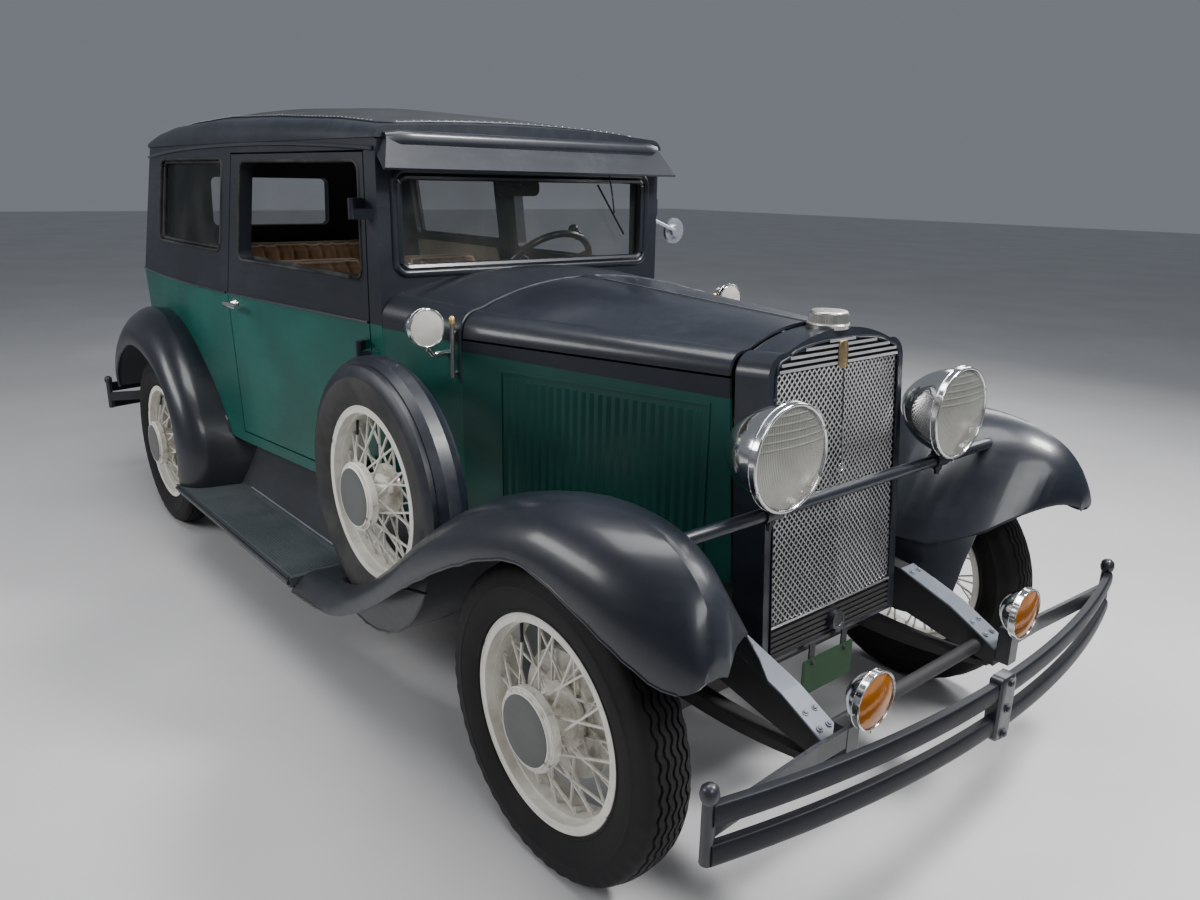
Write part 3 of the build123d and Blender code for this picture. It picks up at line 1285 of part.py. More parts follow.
def bumper(horn_y, horn_x):
    """Two-bar bumper with end posts, clamp and spring irons to the frame."""
    low = LOWER_BAR_Z - BAR_H / 2
    high = UPPER_BAR_Z + BAR_H / 2
    whole = bumper_bar(UPPER_BAR_Z).fuse(bumper_bar(LOWER_BAR_Z))
    clamp = box(BUMPER_X - BAR_T - 6, BUMPER_X - 0.01, -30, 30, low - 8, high + 8)
    whole = whole.fuse(clamp)
    x = BUMPER_END_X + 2
    for side in (1, -1):
        y = side * BUMPER_END_Y
        whole = whole.fuse(rod((x, y, low), (x, y, high + 6), POST_R), Pos(x, y, high + 12) * Sphere(BALL_R))
        back = beam((x - 10, y, IRON_Z), (horn_x + 30, side * (horn_y + 120), IRON_Z), (0, 0, 1), BAR_H, 10)
        iron = beam((horn_x + 30, side * (horn_y + 124), IRON_Z), (horn_x + 30, side * (horn_y - 20), IRON_Z),
                    (0, 0, 1), BAR_H, 10)
        arm_y = side * horn_y
        arm = box(horn_x + SEAT_GAP, horn_x + 36, arm_y - 20, arm_y + 20, 365, IRON_Z + BAR_H / 2)
        whole = whole.fuse(back, iron, arm)
    return whole


def make_bumpers():
    """Front and rear bumpers."""
    front = bumper(RAIL_FRONT_Y, HORN_X)
    rear = bumper(RAIL_REAR_Y, -FRAME_END_X)
    rear = mirror(rear, about=Plane.YZ)
    save("bumpers", solids_of(front) + solids_of(rear))


def strap(grow):
    """Curved cover on top of the left frame horn, thicker by grow."""
    low = [(x, z + SEAT_GAP) for x, z in HORN_TOP[:3]]
    high = [(x, z + SEAT_GAP + STRAP_T + grow) for x, z in reversed(HORN_TOP[:3])]
    return prism_xz(low + high, RAIL_FRONT_Y - 30 - grow, RAIL_FRONT_Y + 34 + grow)


def make_straps():
    """Curved covers on top of the frame horns."""
    save("horn_straps", both_sides(strap(0)))


def make_mirror():
    """Round mirror on an arm from the left windscreen pillar."""
    head = rod((400, 700, 1355), (412, 700, 1355), 47)
    back = rod((412, 700, 1355), (424, 700, 1355), 22)
    arm = rod((418, 700, 1355), (440, 556, 1400), 6)
    keep = head.fuse(back, arm) - body_form(-SEAT_GAP)
    save("mirror", largest(keep))


make_wheels()
make_frame()
make_springs()
make_front_axle()
make_rear_axle()
make_engine()
make_exhaust()
make_tank()
make_body()
make_roof()
make_floor()
make_seats()
make_radiator()
make_nose()
make_steering()
make_knuckles()
make_front_fenders()
make_rear_fenders()
make_boards()
make_lamps()
make_bumpers()
make_straps()
make_mirror()
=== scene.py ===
import json
import math

import bmesh
import bpy
from mathutils import Matrix, Vector
from mathutils.bvhtree import BVHTree

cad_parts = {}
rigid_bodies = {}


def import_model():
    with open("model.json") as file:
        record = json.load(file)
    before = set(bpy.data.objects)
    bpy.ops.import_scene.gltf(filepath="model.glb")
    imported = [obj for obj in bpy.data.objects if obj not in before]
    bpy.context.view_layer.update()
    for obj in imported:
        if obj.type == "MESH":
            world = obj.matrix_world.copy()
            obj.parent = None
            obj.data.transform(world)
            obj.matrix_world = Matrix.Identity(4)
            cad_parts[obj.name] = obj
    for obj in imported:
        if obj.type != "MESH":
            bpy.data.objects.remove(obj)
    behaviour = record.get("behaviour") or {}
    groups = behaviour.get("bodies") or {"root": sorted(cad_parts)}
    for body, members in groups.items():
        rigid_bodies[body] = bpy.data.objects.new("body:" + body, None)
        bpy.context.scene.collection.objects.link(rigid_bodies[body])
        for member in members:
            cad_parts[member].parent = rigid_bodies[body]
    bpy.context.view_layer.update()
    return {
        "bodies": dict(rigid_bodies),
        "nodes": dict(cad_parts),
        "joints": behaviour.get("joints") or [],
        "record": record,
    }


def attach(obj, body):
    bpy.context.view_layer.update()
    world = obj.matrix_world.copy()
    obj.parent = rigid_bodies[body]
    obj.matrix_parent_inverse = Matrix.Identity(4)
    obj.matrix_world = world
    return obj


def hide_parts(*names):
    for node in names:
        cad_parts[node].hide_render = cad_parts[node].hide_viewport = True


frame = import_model()
NODES = frame["nodes"]

bl_info = {
    "name": "Vintage car finish",
    "version": (1, 0, 0),
    "blender": (4, 5, 0),
    "location": "3D View > Sidebar > Vintage car",
    "description": "Paint, glass, rubber, lamps and upholstery for the vintage car",
    "category": "Object",
}

# Places on the car, in metres
FRONT_X, REAR_X = 1.550, -1.300
HALF_TRACK = 0.714
WHEEL_Z = 0.372
SPARE = (0.703, 0.694, 0.672)
BELT_Z = 1.100
DOOR_HINGE_X, DOOR_HINGE_HALF, DOOR_HINGE_Y = 0.396, 0.062, 0.580
RADIATOR_LEAN = math.radians(4.1)
RADIATOR_FOOT = Vector((1.758, 0.0, 0.430))
SIDES = (("left", 1), ("right", -1))


# Node trees

def fill(tree, node, inputs):
    """Links a node's inputs to sockets or sets their values."""
    for key, value in inputs.items():
        if isinstance(value, bpy.types.NodeSocket):
            tree.links.new(value, node.inputs[key])
        else:
            node.inputs[key].default_value = value


def tree_node(tree, kind, inputs=None, **settings):
    """Adds a node, with its settings and the values or links of its inputs."""
    node = tree.nodes.new(kind)
    for key, value in settings.items():
        setattr(node, key, value)
    fill(tree, node, inputs or {})
    return node


def math_node(tree, operation, first, second=0.5, third=0.5, clamp=False):
    """One step of arithmetic; gives its output socket."""
    inputs = {0: first, 1: second, 2: third}
    return tree_node(tree, "ShaderNodeMath", inputs, operation=operation, use_clamp=clamp).outputs[0]


def times(tree, first, second, clamp=False):
    """Product of two values."""
    return math_node(tree, "MULTIPLY", first, second, clamp=clamp)


def times_add(tree, first, second, third, clamp=False):
    """Product of the first two values, with the third added."""
    return math_node(tree, "MULTIPLY_ADD", first, second, third, clamp)


def mix_colour(tree, factor, first, second):
    """Blend of two colours; gives its output socket."""
    return tree_node(tree, "ShaderNodeMix", {0: factor, 6: first, 7: second}, data_type="RGBA").outputs[2]


def scaled(tree, colour, factor):
    """Colour made darker or lighter by a factor."""
    inputs = {0: colour, "Scale": factor}
    return tree_node(tree, "ShaderNodeVectorMath", inputs, operation="SCALE").outputs[0]


def axes_of(tree, place):
    """The three values of a place, by axis letter."""
    return tree_node(tree, "ShaderNodeSeparateXYZ", {0: place}).outputs


def smooth_range(tree, value, low, high, to_low=0.0, to_high=1.0):
    """Value mapped smoothly from one span to another."""
    inputs = {"Value": value, "From Min": low, "From Max": high, "To Min": to_low, "To Max": to_high}
    return tree_node(tree, "ShaderNodeMapRange", inputs, interpolation_type="SMOOTHSTEP").outputs["Result"]


def noise(tree, place, scale, detail=4.0, rough=0.55, stretch=None):
    """Noise value at a place, stretched along the axes if asked."""
    if stretch:
        place = tree_node(tree, "ShaderNodeMapping", {"Vector": place, "Scale": stretch}).outputs[0]
    inputs = {"Vector": place, "Scale": scale, "Detail": detail, "Roughness": rough}
    return tree_node(tree, "ShaderNodeTexNoise", inputs).outputs["Fac"]


def patches(tree, place, scale, detail, rough, low, high):
    """Mask of soft-edged patches, from noise between two levels."""
    return smooth_range(tree, noise(tree, place, scale, detail, rough), low, high)


def new_group(name, inputs, outputs):
    """Empty shader group and its two end nodes; each input's value tells the kind of its socket."""
    group = bpy.data.node_groups.new(name, "ShaderNodeTree")
    for label, value in inputs.items():
        kind = "Float" if isinstance(value, float) else {3: "Vector", 4: "Color"}[len(value)]
        socket = group.interface.new_socket(name=label, in_out="INPUT", socket_type="NodeSocket" + kind)
        socket.default_value = value
    for label in outputs:
        kind = "NodeSocketColor" if label == "Colour" else "NodeSocketFloat"
        group.interface.new_socket(name=label, in_out="OUTPUT", socket_type=kind)
    return group, group.nodes.new("NodeGroupInput"), group.nodes.new("NodeGroupOutput")


def enamel_group():
    """Old hand-rubbed enamel: cloudy tone, dust that settles low, rub marks and stone chips."""
    group, start, end = new_group("old_enamel", {
        "Place": (0.0, 0.0, 0.0), "Paint": (0.02, 0.02, 0.03, 1),
        "Dust": (0.16, 0.15, 0.135, 1), "Dust Amount": 0.3,
        "Chip Colour": (0.10, 0.08, 0.07, 1), "Chip Amount": 0.3, "Roughness": 0.3,
    }, ("Colour", "Roughness", "Height"))
    place = start.outputs["Place"]
    cloud = noise(group, place, 3.2, 3.0)
    fine = noise(group, place, 46.0, 5.0, 0.6)
    streak = noise(group, place, 14.0, 4.0, 0.6, stretch=(0.6, 0.6, 5.0))
    low = smooth_range(group, axes_of(group, place)["Z"], 0.75, 0.25)
    patch = smooth_range(group, times_add(group, cloud, 0.6, times(group, fine, 0.4)), 0.46, 0.66)
    dust = times_add(group, low, 0.55, times(group, patch, 0.22))
    dust = times(group, dust, start.outputs["Dust Amount"], clamp=True)
    paint = scaled(group, start.outputs["Paint"], smooth_range(group, cloud, 0.3, 0.7, 0.80, 1.18))
    colour = mix_colour(group, dust, paint, start.outputs["Dust"])
    spots = patches(group, place, 120.0, 3.0, 0.7, 0.70, 0.74)
    spots = times(group, spots, times_add(group, low, 0.8, 0.25))
    spots = times(group, spots, start.outputs["Chip Amount"], clamp=True)
    rough = times_add(group, streak, 0.16, start.outputs["Roughness"])
    fill(group, end, {
        "Colour": mix_colour(group, spots, colour, start.outputs["Chip Colour"]),
        "Roughness": times_add(group, dust, 0.5, rough, clamp=True),
        "Height": times_add(group, fine, 0.35, times(group, spots, -0.6)),
    })
    return group


def plating_group():
    """Worn plated metal: fine rub lines, dull spots and grey tarnish."""
    group, start, end = new_group("worn_plating", {
        "Place": (0.0, 0.0, 0.0), "Metal": (0.7, 0.7, 0.68, 1),
        "Tarnish": (0.20, 0.17, 0.13, 1), "Tarnish Amount": 0.3, "Roughness": 0.16,
    }, ("Colour", "Roughness", "Height"))
    place = start.outputs["Place"]
    patch = patches(group, place, 24.0, 6.0, 0.62, 0.46, 0.72)
    lines = noise(group, place, 160.0, 2.0, 0.5, stretch=(0.15, 1.0, 1.0))
    amount = times(group, patch, start.outputs["Tarnish Amount"], clamp=True)
    rough = times_add(group, lines, 0.10, start.outputs["Roughness"])
    fill(group, end, {
        "Colour": mix_colour(group, amount, start.outputs["Metal"], start.outputs["Tarnish"]),
        "Roughness": times_add(group, amount, 0.6, rough, clamp=True),
        "Height": times(group, lines, 0.3),
    })
    return group


def cloth_group():
    """Woven cloth: crossing threads, worn patches and a soft nap."""
    group, start, end = new_group("woven_cloth", {
        "Place": (0.0, 0.0, 0.0), "Thread": (0.3, 0.2, 0.1, 1),
        "Worn": (0.4, 0.3, 0.2, 1), "Threads Per Metre": 700.0,
    }, ("Colour", "Height"))
    place = start.outputs["Place"]
    split = axes_of(group, place)
    waves = []
    for axis in "XY":
        run = math_node(group, "ADD", split[axis], split["Z"])
        waves.append(math_node(group, "SINE", times(group, run, start.outputs["Threads Per Metre"])))
    weave = times(group, waves[0], waves[1])
    wear = patches(group, place, 9.0, 5.0, 0.6, 0.42, 0.68)
    colour = mix_colour(group, wear, start.outputs["Thread"], start.outputs["Worn"])
    nap = noise(group, place, 420.0, 2.0)
    fill(group, end, {
        "Colour": scaled(group, colour, smooth_range(group, weave, -1.0, 1.0, 0.82, 1.12)),
        "Height": times_add(group, nap, 0.8, times(group, weave, 0.5)),
    })
    return group


def ring_group():
    """Mask of a ring about a wheel's axis, between two radii, and the distance from the axis."""
    group, start, end = new_group("wheel_ring", {
        "Place": (0.0, 0.0, 0.0), "Centre": (0.0, 0.0, 0.0), "Inner Radius": 0.0, "Outer Radius": 0.1,
    }, ("Mask", "Radius"))
    step = {0: start.outputs["Place"], 1: start.outputs["Centre"]}
    away = tree_node(group, "ShaderNodeVectorMath", step, operation="SUBTRACT").outputs[0]
    flat = tree_node(group, "ShaderNodeVectorMath", {0: away, 1: (1.0, 0.0, 1.0)}, operation="MULTIPLY")
    length = tree_node(group, "ShaderNodeVectorMath", {0: flat.outputs[0]}, operation="LENGTH")
    radius = length.outputs["Value"]
    inside = math_node(group, "LESS_THAN", radius, start.outputs["Outer Radius"])
    outside = math_node(group, "GREATER_THAN", radius, start.outputs["Inner Radius"])
    fill(group, end, {"Mask": times(group, inside, outside), "Radius": radius})
    return group


GROUP_MAKERS = {"enamel": enamel_group, "plating": plating_group, "cloth": cloth_group, "ring": ring_group}
GROUPS = {}


def put_group(tree, name, **inputs):
    """Places a shared group, built once, in a material with its own values; gives its outputs."""
    if name not in GROUPS:
        GROUPS[name] = GROUP_MAKERS[name]()
    values = {key.replace("_", " ").title(): value for key, value in inputs.items()}
    return tree_node(tree, "ShaderNodeGroup", values, node_tree=GROUPS[name]).outputs


def new_material(name):
    """Material with an empty Principled shader; gives the material, its tree, shader and object place."""
    material = bpy.data.materials.new(name)
    material.use_nodes = True
    tree = material.node_tree
    place = tree.nodes.new("ShaderNodeTexCoord").outputs["Object"]
    return material, tree, tree.nodes["Principled BSDF"], place


def bumped(tree, height, distance):
    """Normal of a surface raised by a height."""
    inputs = {"Height": height, "Distance": distance, "Strength": 1.0}
    return tree_node(tree, "ShaderNodeBump", inputs).outputs[0]


def rgba(colour):
    return (colour[0], colour[1], colour[2], 1.0)


def shade(colour, factor):
    return tuple(part * factor for part in colour)


def enamel(name, colour, rough=0.30, dust=0.3, chips=0.3, coat=0.25, second=None, edge=None,
           dust_colour=(0.15, 0.142, 0.13), specular=0.40):
    """Enamel paint; second is a colour above the height edge(tree, place) gives."""
    material, tree, shader, place = new_material(name)
    paint = rgba(colour)
    if second:
        paint = mix_colour(tree, edge(tree, place), rgba(colour), rgba(second))
    old = put_group(tree, "enamel", place=place, paint=paint, dust_amount=dust, chip_amount=chips,
                    roughness=rough, dust=rgba(dust_colour))
    fill(tree, shader, {
        "Base Color": old["Colour"], "Roughness": old["Roughness"],
        "Coat Weight": coat, "Coat Roughness": 0.17, "Specular IOR Level": specular,
        "Normal": bumped(tree, old["Height"], 0.0004),
    })
    return material


def above(height, slope=0.0):
    """Mask that is one above a level line, which may climb along the car."""
    def build(tree, place):
        split = axes_of(tree, place)
        return math_node(tree, "GREATER_THAN", split["Z"], times_add(tree, split["X"], slope, height))
    return build


def above_or_hinge(tree, place):
    """Mask of the black upper body and of the black door hinges below it."""
    split = axes_of(tree, place)
    upper = math_node(tree, "GREATER_THAN", split["Z"], BELT_Z)
    ahead = math_node(tree, "ABSOLUTE", math_node(tree, "SUBTRACT", split["X"], DOOR_HINGE_X))
    close = math_node(tree, "LESS_THAN", ahead, DOOR_HINGE_HALF)
    proud = math_node(tree, "GREATER_THAN", math_node(tree, "ABSOLUTE", split["Y"]), DOOR_HINGE_Y)
    return math_node(tree, "MAXIMUM", upper, times(tree, close, proud))


def plating(name, colour, rough=0.14, tarnish=0.35, dark=(0.20, 0.17, 0.13)):
    """Nickel or chrome plate."""
    material, tree, shader, place = new_material(name)
    worn = put_group(tree, "plating", place=place, metal=rgba(colour), tarnish=rgba(dark),
                     tarnish_amount=tarnish, roughness=rough)
    fill(tree, shader, {
        "Base Color": worn["Colour"], "Roughness": worn["Roughness"], "Metallic": 1.0,
        "Normal": bumped(tree, worn["Height"], 0.0002),
    })
    return material


def cloth(name, thread, worn, pitch=700.0, rough=0.85, sheen=0.35):
    """Upholstery cloth."""
    material, tree, shader, place = new_material(name)
    woven = put_group(tree, "cloth", place=place, thread=rgba(thread), worn=rgba(worn), threads_per_metre=pitch)
    fill(tree, shader, {
        "Base Color": woven["Colour"], "Roughness": rough, "Sheen Weight": sheen,
        "Normal": bumped(tree, woven["Height"], 0.0012),
    })
    return material


def rubber(name, colour, dusty, rough=0.72, pebble=0.0):
    """Aged rubber with dust in its low places and, if asked, a pebbled face."""
    material, tree, shader, place = new_material(name)
    patch = patches(tree, place, 7.0, 6.0, 0.65, 0.38, 0.70)
    height = times(tree, noise(tree, place, 260.0, 3.0), 0.4)
    if pebble:
        cells = tree_node(tree, "ShaderNodeTexVoronoi", {"Vector": place, "Scale": 1.0 / pebble})
        raised = math_node(tree, "SUBTRACT", 1.0, cells.outputs["Distance"])
        height = times_add(tree, raised, 1.2, height)
    fill(tree, shader, {
        "Base Color": mix_colour(tree, patch, rgba(colour), rgba(dusty)),
        "Roughness": times_add(tree, patch, 0.14, rough, clamp=True), "Specular IOR Level": 0.24,
        "Normal": bumped(tree, height, 0.0012),
    })
    return material


def glass(name, tint, rough, alpha):
    """Sheet or moulded glass with faint dust and waves."""
    material, tree, shader, place = new_material(name)
    patch = patches(tree, place, 5.0, 6.0, 0.6, 0.35, 0.75)
    fill(tree, shader, {
        "Base Color": mix_colour(tree, patch, rgba(tint), (0.10, 0.10, 0.095, 1)),
        "Roughness": times_add(tree, patch, 0.03, rough), "Alpha": times_add(tree, patch, 0.04, alpha),
        "IOR": 1.45, "Specular IOR Level": 0.7,
        "Normal": bumped(tree, noise(tree, place, 3.0, 2.0), 0.0006),
    })
    return material


def lens_glass(name, tint, rough):
    """Pressed lens glass, solid to the eye and clear to the light."""
    material, tree, shader, place = new_material(name)
    patch = patches(tree, place, 18.0, 5.0, 0.6, 0.35, 0.75)
    pale = tuple(0.80 * part + 0.03 for part in tint)
    fill(tree, shader, {
        "Base Color": mix_colour(tree, patch, rgba(tint), rgba(pale)),
        "Roughness": times_add(tree, patch, 0.12, rough),
        "Transmission Weight": 0.55, "Metallic": 0.0,
        "Normal": bumped(tree, noise(tree, place, 90.0, 2.0), 0.0004),
    })
    return material


def fluted_lens(name, tint):
    """Headlamp glass with upright flutes and level ribs across its top, and a painted highlight: pale at the
    bottom, darker towards the top.
    """
    flute_pitch, rib_pitch, ribs_from = 0.0048, 0.0165, 1.000
    material, tree, shader, place = new_material(name)
    split = axes_of(tree, place)
    flutes = math_node(tree, "SINE", times(tree, split["Y"], 2 * math.pi / flute_pitch))
    ribs = math_node(tree, "SINE", times(tree, split["Z"], 2 * math.pi / rib_pitch))
    ribs = math_node(tree, "POWER", times_add(tree, ribs, 0.5, 0.5), 6.0)
    top = smooth_range(tree, split["Z"], ribs_from, ribs_from + 0.006)
    height = math_node(tree, "ADD", times(tree, flutes, 0.35), times(tree, ribs, top))
    # Painted highlight: pale glass colour at the bottom, fading to a dark tint towards the top.
    painted_highlight_fade = smooth_range(tree, split["Z"], 0.90, 1.07)
    patch = patches(tree, place, 14.0, 5.0, 0.6, 0.35, 0.75)
    colour = mix_colour(tree, painted_highlight_fade, (0.46, 0.45, 0.39, 1), rgba(shade(tint, 0.42)))
    fill(tree, shader, {
        "Base Color": mix_colour(tree, times(tree, patch, 0.35), colour, (0.20, 0.20, 0.17, 1)),
        "Roughness": times_add(tree, patch, 0.10, 0.10),
        "Transmission Weight": 0.35, "Coat Weight": 0.8,
        "Normal": bumped(tree, height, 0.0016),
    })
    return material


def wood(name, light, dark):
    """Varnished boards with long grain."""
    material, tree, shader, place = new_material(name)
    grain = noise(tree, place, 9.0, 6.0, 0.6, stretch=(0.4, 9.0, 9.0))
    fill(tree, shader, {
        "Base Color": mix_colour(tree, smooth_range(tree, grain, 0.3, 0.7), rgba(dark), rgba(light)),
        "Roughness": smooth_range(tree, grain, 0.3, 0.7, 0.42, 0.62),
        "Normal": bumped(tree, grain, 0.0008),
    })
    return material


def stained_steel(name, base, rust, amount, metallic, rough):
    """Bare or cast metal with rust and oil."""
    material, tree, shader, place = new_material(name)
    patch = times(tree, patches(tree, place, 16.0, 7.0, 0.68, 0.42, 0.66), amount)
    fill(tree, shader, {
        "Base Color": mix_colour(tree, patch, rgba(base), rgba(rust)),
        "Roughness": times_add(tree, patch, 0.45, rough, clamp=True), "Metallic": metallic,
        "Normal": bumped(tree, noise(tree, place, 180.0, 4.0), 0.0008),
    })
    return material


def wheel_paint(name, centre):
    """Cream wheel with a pale drum behind it and brake dust near the hub."""
    drum_radius, drum_behind = (0.1, 0.1502), 0.0165
    material, tree, shader, place = new_material(name)
    cream = rgba(bpy.context.scene.car_colours.wheel_cream)
    drum = put_group(tree, "ring", place=place, centre=centre,
                     inner_radius=drum_radius[0], outer_radius=drum_radius[1])
    depth = math_node(tree, "ABSOLUTE", axes_of(tree, place)["Y"])
    behind = math_node(tree, "LESS_THAN", depth, abs(centre[1]) - drum_behind)
    near = smooth_range(tree, drum["Radius"], 0.20, 0.08)
    grime = patches(tree, place, 26.0, 6.0, 0.65, 0.40, 0.72)
    grime = times(tree, grime, times_add(tree, near, 0.5, 0.30), clamp=True)
    spokes = mix_colour(tree, grime, cream, (0.30, 0.25, 0.18, 1))
    pale = mix_colour(tree, grime, (0.55, 0.54, 0.48, 1), (0.22, 0.19, 0.15, 1))
    fill(tree, shader, {
        "Base Color": mix_colour(tree, times(tree, drum["Mask"], behind), spokes, pale),
        "Roughness": times_add(tree, grime, 0.35, 0.34, clamp=True), "Coat Weight": 0.15,
        "Normal": bumped(tree, noise(tree, place, 150.0, 3.0), 0.0004),
    })
    return material


def covered_tyre_finish(name):
    """Enamelled tread cover over a matt black tyre wall."""
    wall_radius, past_tyre = 0.3325, 0.50
    material, tree, shader, place = new_material(name)
    black = rgba(bpy.context.scene.car_colours.coach_black)
    old = put_group(tree, "enamel", place=place, paint=black, dust_amount=0.25, chip_amount=0.4, roughness=0.30)
    cover = put_group(tree, "ring", place=place, centre=SPARE, inner_radius=wall_radius, outer_radius=past_tyre)
    patch = patches(tree, place, 7.0, 6.0, 0.65, 0.38, 0.70)
    wall = mix_colour(tree, patch, (0.013, 0.013, 0.014, 1), (0.045, 0.043, 0.040, 1))
    rough = tree_node(tree, "ShaderNodeMix", {0: cover["Mask"], 2: 0.72, 3: old["Roughness"]})
    fill(tree, shader, {
        "Base Color": mix_colour(tree, cover["Mask"], wall, old["Colour"]), "Roughness": rough.outputs[0],
        "Normal": bumped(tree, old["Height"], 0.0005),
    })
    return material


MATERIALS = {}


def material_of(name):
    """The finish of that name, built once from the colours in the panel."""
    if name in MATERIALS:
        return MATERIALS[name]
    props = bpy.context.scene.car_colours
    black, green = props.coach_black, props.coach_green
    matt_black = (0.012, 0.012, 0.012)
    board_grey = (0.038, 0.050, 0.056)
    build = {
        # Painted shade: the bumpers take the coach black made 0.7 times as dark, to offset the floor light they
        # reflect.
        "shaded_gloss": lambda: enamel("bumper_black_painted_shade", shade(black, 0.7), 0.34, 0.08, 0.6, 0.0, specular=0.20),
        "black": lambda: enamel("coach_black", black, 0.30, 0.15, 0.5, 0.40),
        "body": lambda: enamel("body_two_tone", green, 0.36, 0.18, 0.25, 0.10, black, above_or_hinge),
        "cowl": lambda: enamel(
            "cowl_two_tone", shade(green, 0.8), 0.36, 0.15, 0.25, 0.10, black, above(1.094)),
        # Painted shade: the bonnet sides take the body's coach green made 0.55 times as dark; the black above the
        # edge is two-tone paint.
        "side": lambda: enamel(
            "bonnet_side_two_tone_painted_shade", shade(green, 0.55), 0.36, 0.10, 0.25, 0.08, black, above(1.090, -0.022)),
        "roof": lambda: enamel("roof_black", shade(black, 1.1), 0.34, 0.3, 0.15, 0.15),
        "chassis": lambda: enamel(
            "chassis_black", (0.010, 0.011, 0.013), 0.50, 0.30, 0.5, 0.0, dust_colour=(0.10, 0.095, 0.09)),
        "strap": lambda: enamel("strap_grey", (0.17, 0.19, 0.23), 0.32, 0.3, 0.5, 0.2),
        "slat": lambda: enamel("slat_black", (0.012, 0.012, 0.014), 0.5, 0.4, 0.2, 0.0),
        "nickel": lambda: plating("nickel_plate", (0.62, 0.61, 0.58), 0.20, 0.4),
        "bright": lambda: plating("bright_plate", (0.85, 0.85, 0.84), 0.06, 0.12),
        "strip": lambda: plating("strip_plate", (0.66, 0.67, 0.68), 0.40, 0.2),
        "cap": lambda: plating("cap_plate", (0.50, 0.49, 0.46), 0.28, 0.3),
        "satin": lambda: plating("satin_plate", (0.52, 0.55, 0.60), 0.36, 0.15),
        "cap_disc": lambda: enamel("hub_disc_grey", (0.085, 0.090, 0.088), 0.36, 0.3, 0.2, 0.15),
        "dull": lambda: plating("dull_plate", (0.27, 0.27, 0.27), 0.38, 0.25, (0.13, 0.12, 0.11)),
        "guard": lambda: plating("guard_plate", (0.44, 0.44, 0.44), 0.26, 0.25, (0.12, 0.115, 0.11)),
        "board": lambda: rubber("board_rubber", board_grey, (0.066, 0.078, 0.082), 0.60, 0.006),
        "mat": lambda: enamel(
            "board_two_tone", board_grey, 0.50, 0.5, 0.2, 0.0, black, above(0.3215),
            dust_colour=(0.080, 0.085, 0.085)),
        "cover": lambda: covered_tyre_finish("spare_cover"),
        "tyre": lambda: rubber("tyre_black", (0.0070, 0.0070, 0.0080), (0.018, 0.017, 0.016), 0.62),
        "gasket": lambda: rubber("gasket_black", matt_black, (0.05, 0.05, 0.05), 0.6),
        "glass": lambda: glass("window_sheet", (0.035, 0.045, 0.045), 0.01, 0.14),
        "bronze": lambda: plating("badge_bronze", (0.34, 0.24, 0.13), 0.30, 0.7),
        "brass": lambda: plating("cap_brass", (0.60, 0.42, 0.16), 0.25, 0.5),
        # Painted highlight: the roof and cowl beads take the coach black made 1.6 times as light, so they read as
        # lit lines.
        "bead": lambda: enamel("bead_black_painted_highlight", shade(black, 1.6), 0.30, 0.4, 0.15, 0.3),
        "cream": lambda: enamel(
            "rim_cream", props.wheel_cream, 0.34, 0.3, 0.2, 0.2, dust_colour=(0.30, 0.25, 0.18)),
        "fluted": lambda: fluted_lens("headlamp_lens", (0.62, 0.62, 0.56)),
        "amber": lambda: lens_glass("amber_lens", (0.62, 0.20, 0.012), 0.10),
        "frosted": lambda: lens_glass("frosted_lens", (0.82, 0.80, 0.74), 0.40),
        "red": lambda: lens_glass("red_lens", (0.55, 0.03, 0.02), 0.14),
        "velour": lambda: cloth("seat_velour", (0.26, 0.135, 0.060), (0.36, 0.21, 0.11), 620.0),
        "piping": lambda: cloth("seat_piping", (0.62, 0.52, 0.36), (0.72, 0.64, 0.50), 900.0),
        "lining": lambda: cloth("cabin_lining", (0.46, 0.40, 0.30), (0.56, 0.50, 0.40), 800.0),
        "topping": lambda: cloth(
            "roof_cloth", (0.010, 0.013, 0.017), (0.019, 0.022, 0.027), 520.0, 0.80, 0.0),
        "carpet": lambda: cloth(
            "floor_carpet", (0.055, 0.045, 0.035), (0.11, 0.09, 0.07), 380.0, 0.95, 0.3),
        "wood": lambda: wood("dash_wood", (0.20, 0.10, 0.045), (0.09, 0.04, 0.018)),
        "iron": lambda: stained_steel("block_iron", (0.075, 0.095, 0.085), (0.11, 0.06, 0.03), 0.5, 0.3, 0.5),
        "exhaust": lambda: stained_steel(
            "pipe_steel", (0.26, 0.23, 0.20), (0.17, 0.075, 0.03), 0.8, 0.7, 0.42),
        "plate": lambda: enamel(
            "number_plate_green", props.plate_green, 0.45, 0.15, 0.3, 0.0, specular=0.2),
        "dial": lambda: enamel("dial_face", (0.60, 0.57, 0.48), 0.4, 0.1, 0.1, 0.0),
        "moulded": lambda: enamel("moulded_black", matt_black, 0.22, 0.2, 0.15, 0.4),
    }[name]
    MATERIALS[name] = build()
    return MATERIALS[name]


# Meshes

def add_mesh(name, verts, faces, material, body="root", slot=None, smooth=True, angle=38.0):
    """Mesh object riding on a body, with outward faces, edges sharp past an angle, and its finish."""
    form = bmesh.new()
    mesh = bpy.data.meshes.new(name)
    mesh.from_pydata([tuple(v) for v in verts], [], faces)
    mesh.validate()
    form.from_mesh(mesh)
    bmesh.ops.recalc_face_normals(form, faces=form.faces)
    form.to_mesh(mesh)
    form.free()
    mesh.materials.append(material_of(material))
    if smooth:
        mesh.shade_smooth()
        mesh.set_sharp_from_angle(angle=math.radians(angle))
    obj = bpy.data.objects.new(name, mesh)
    bpy.context.scene.collection.objects.link(obj)
    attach(obj, body)
    return obj


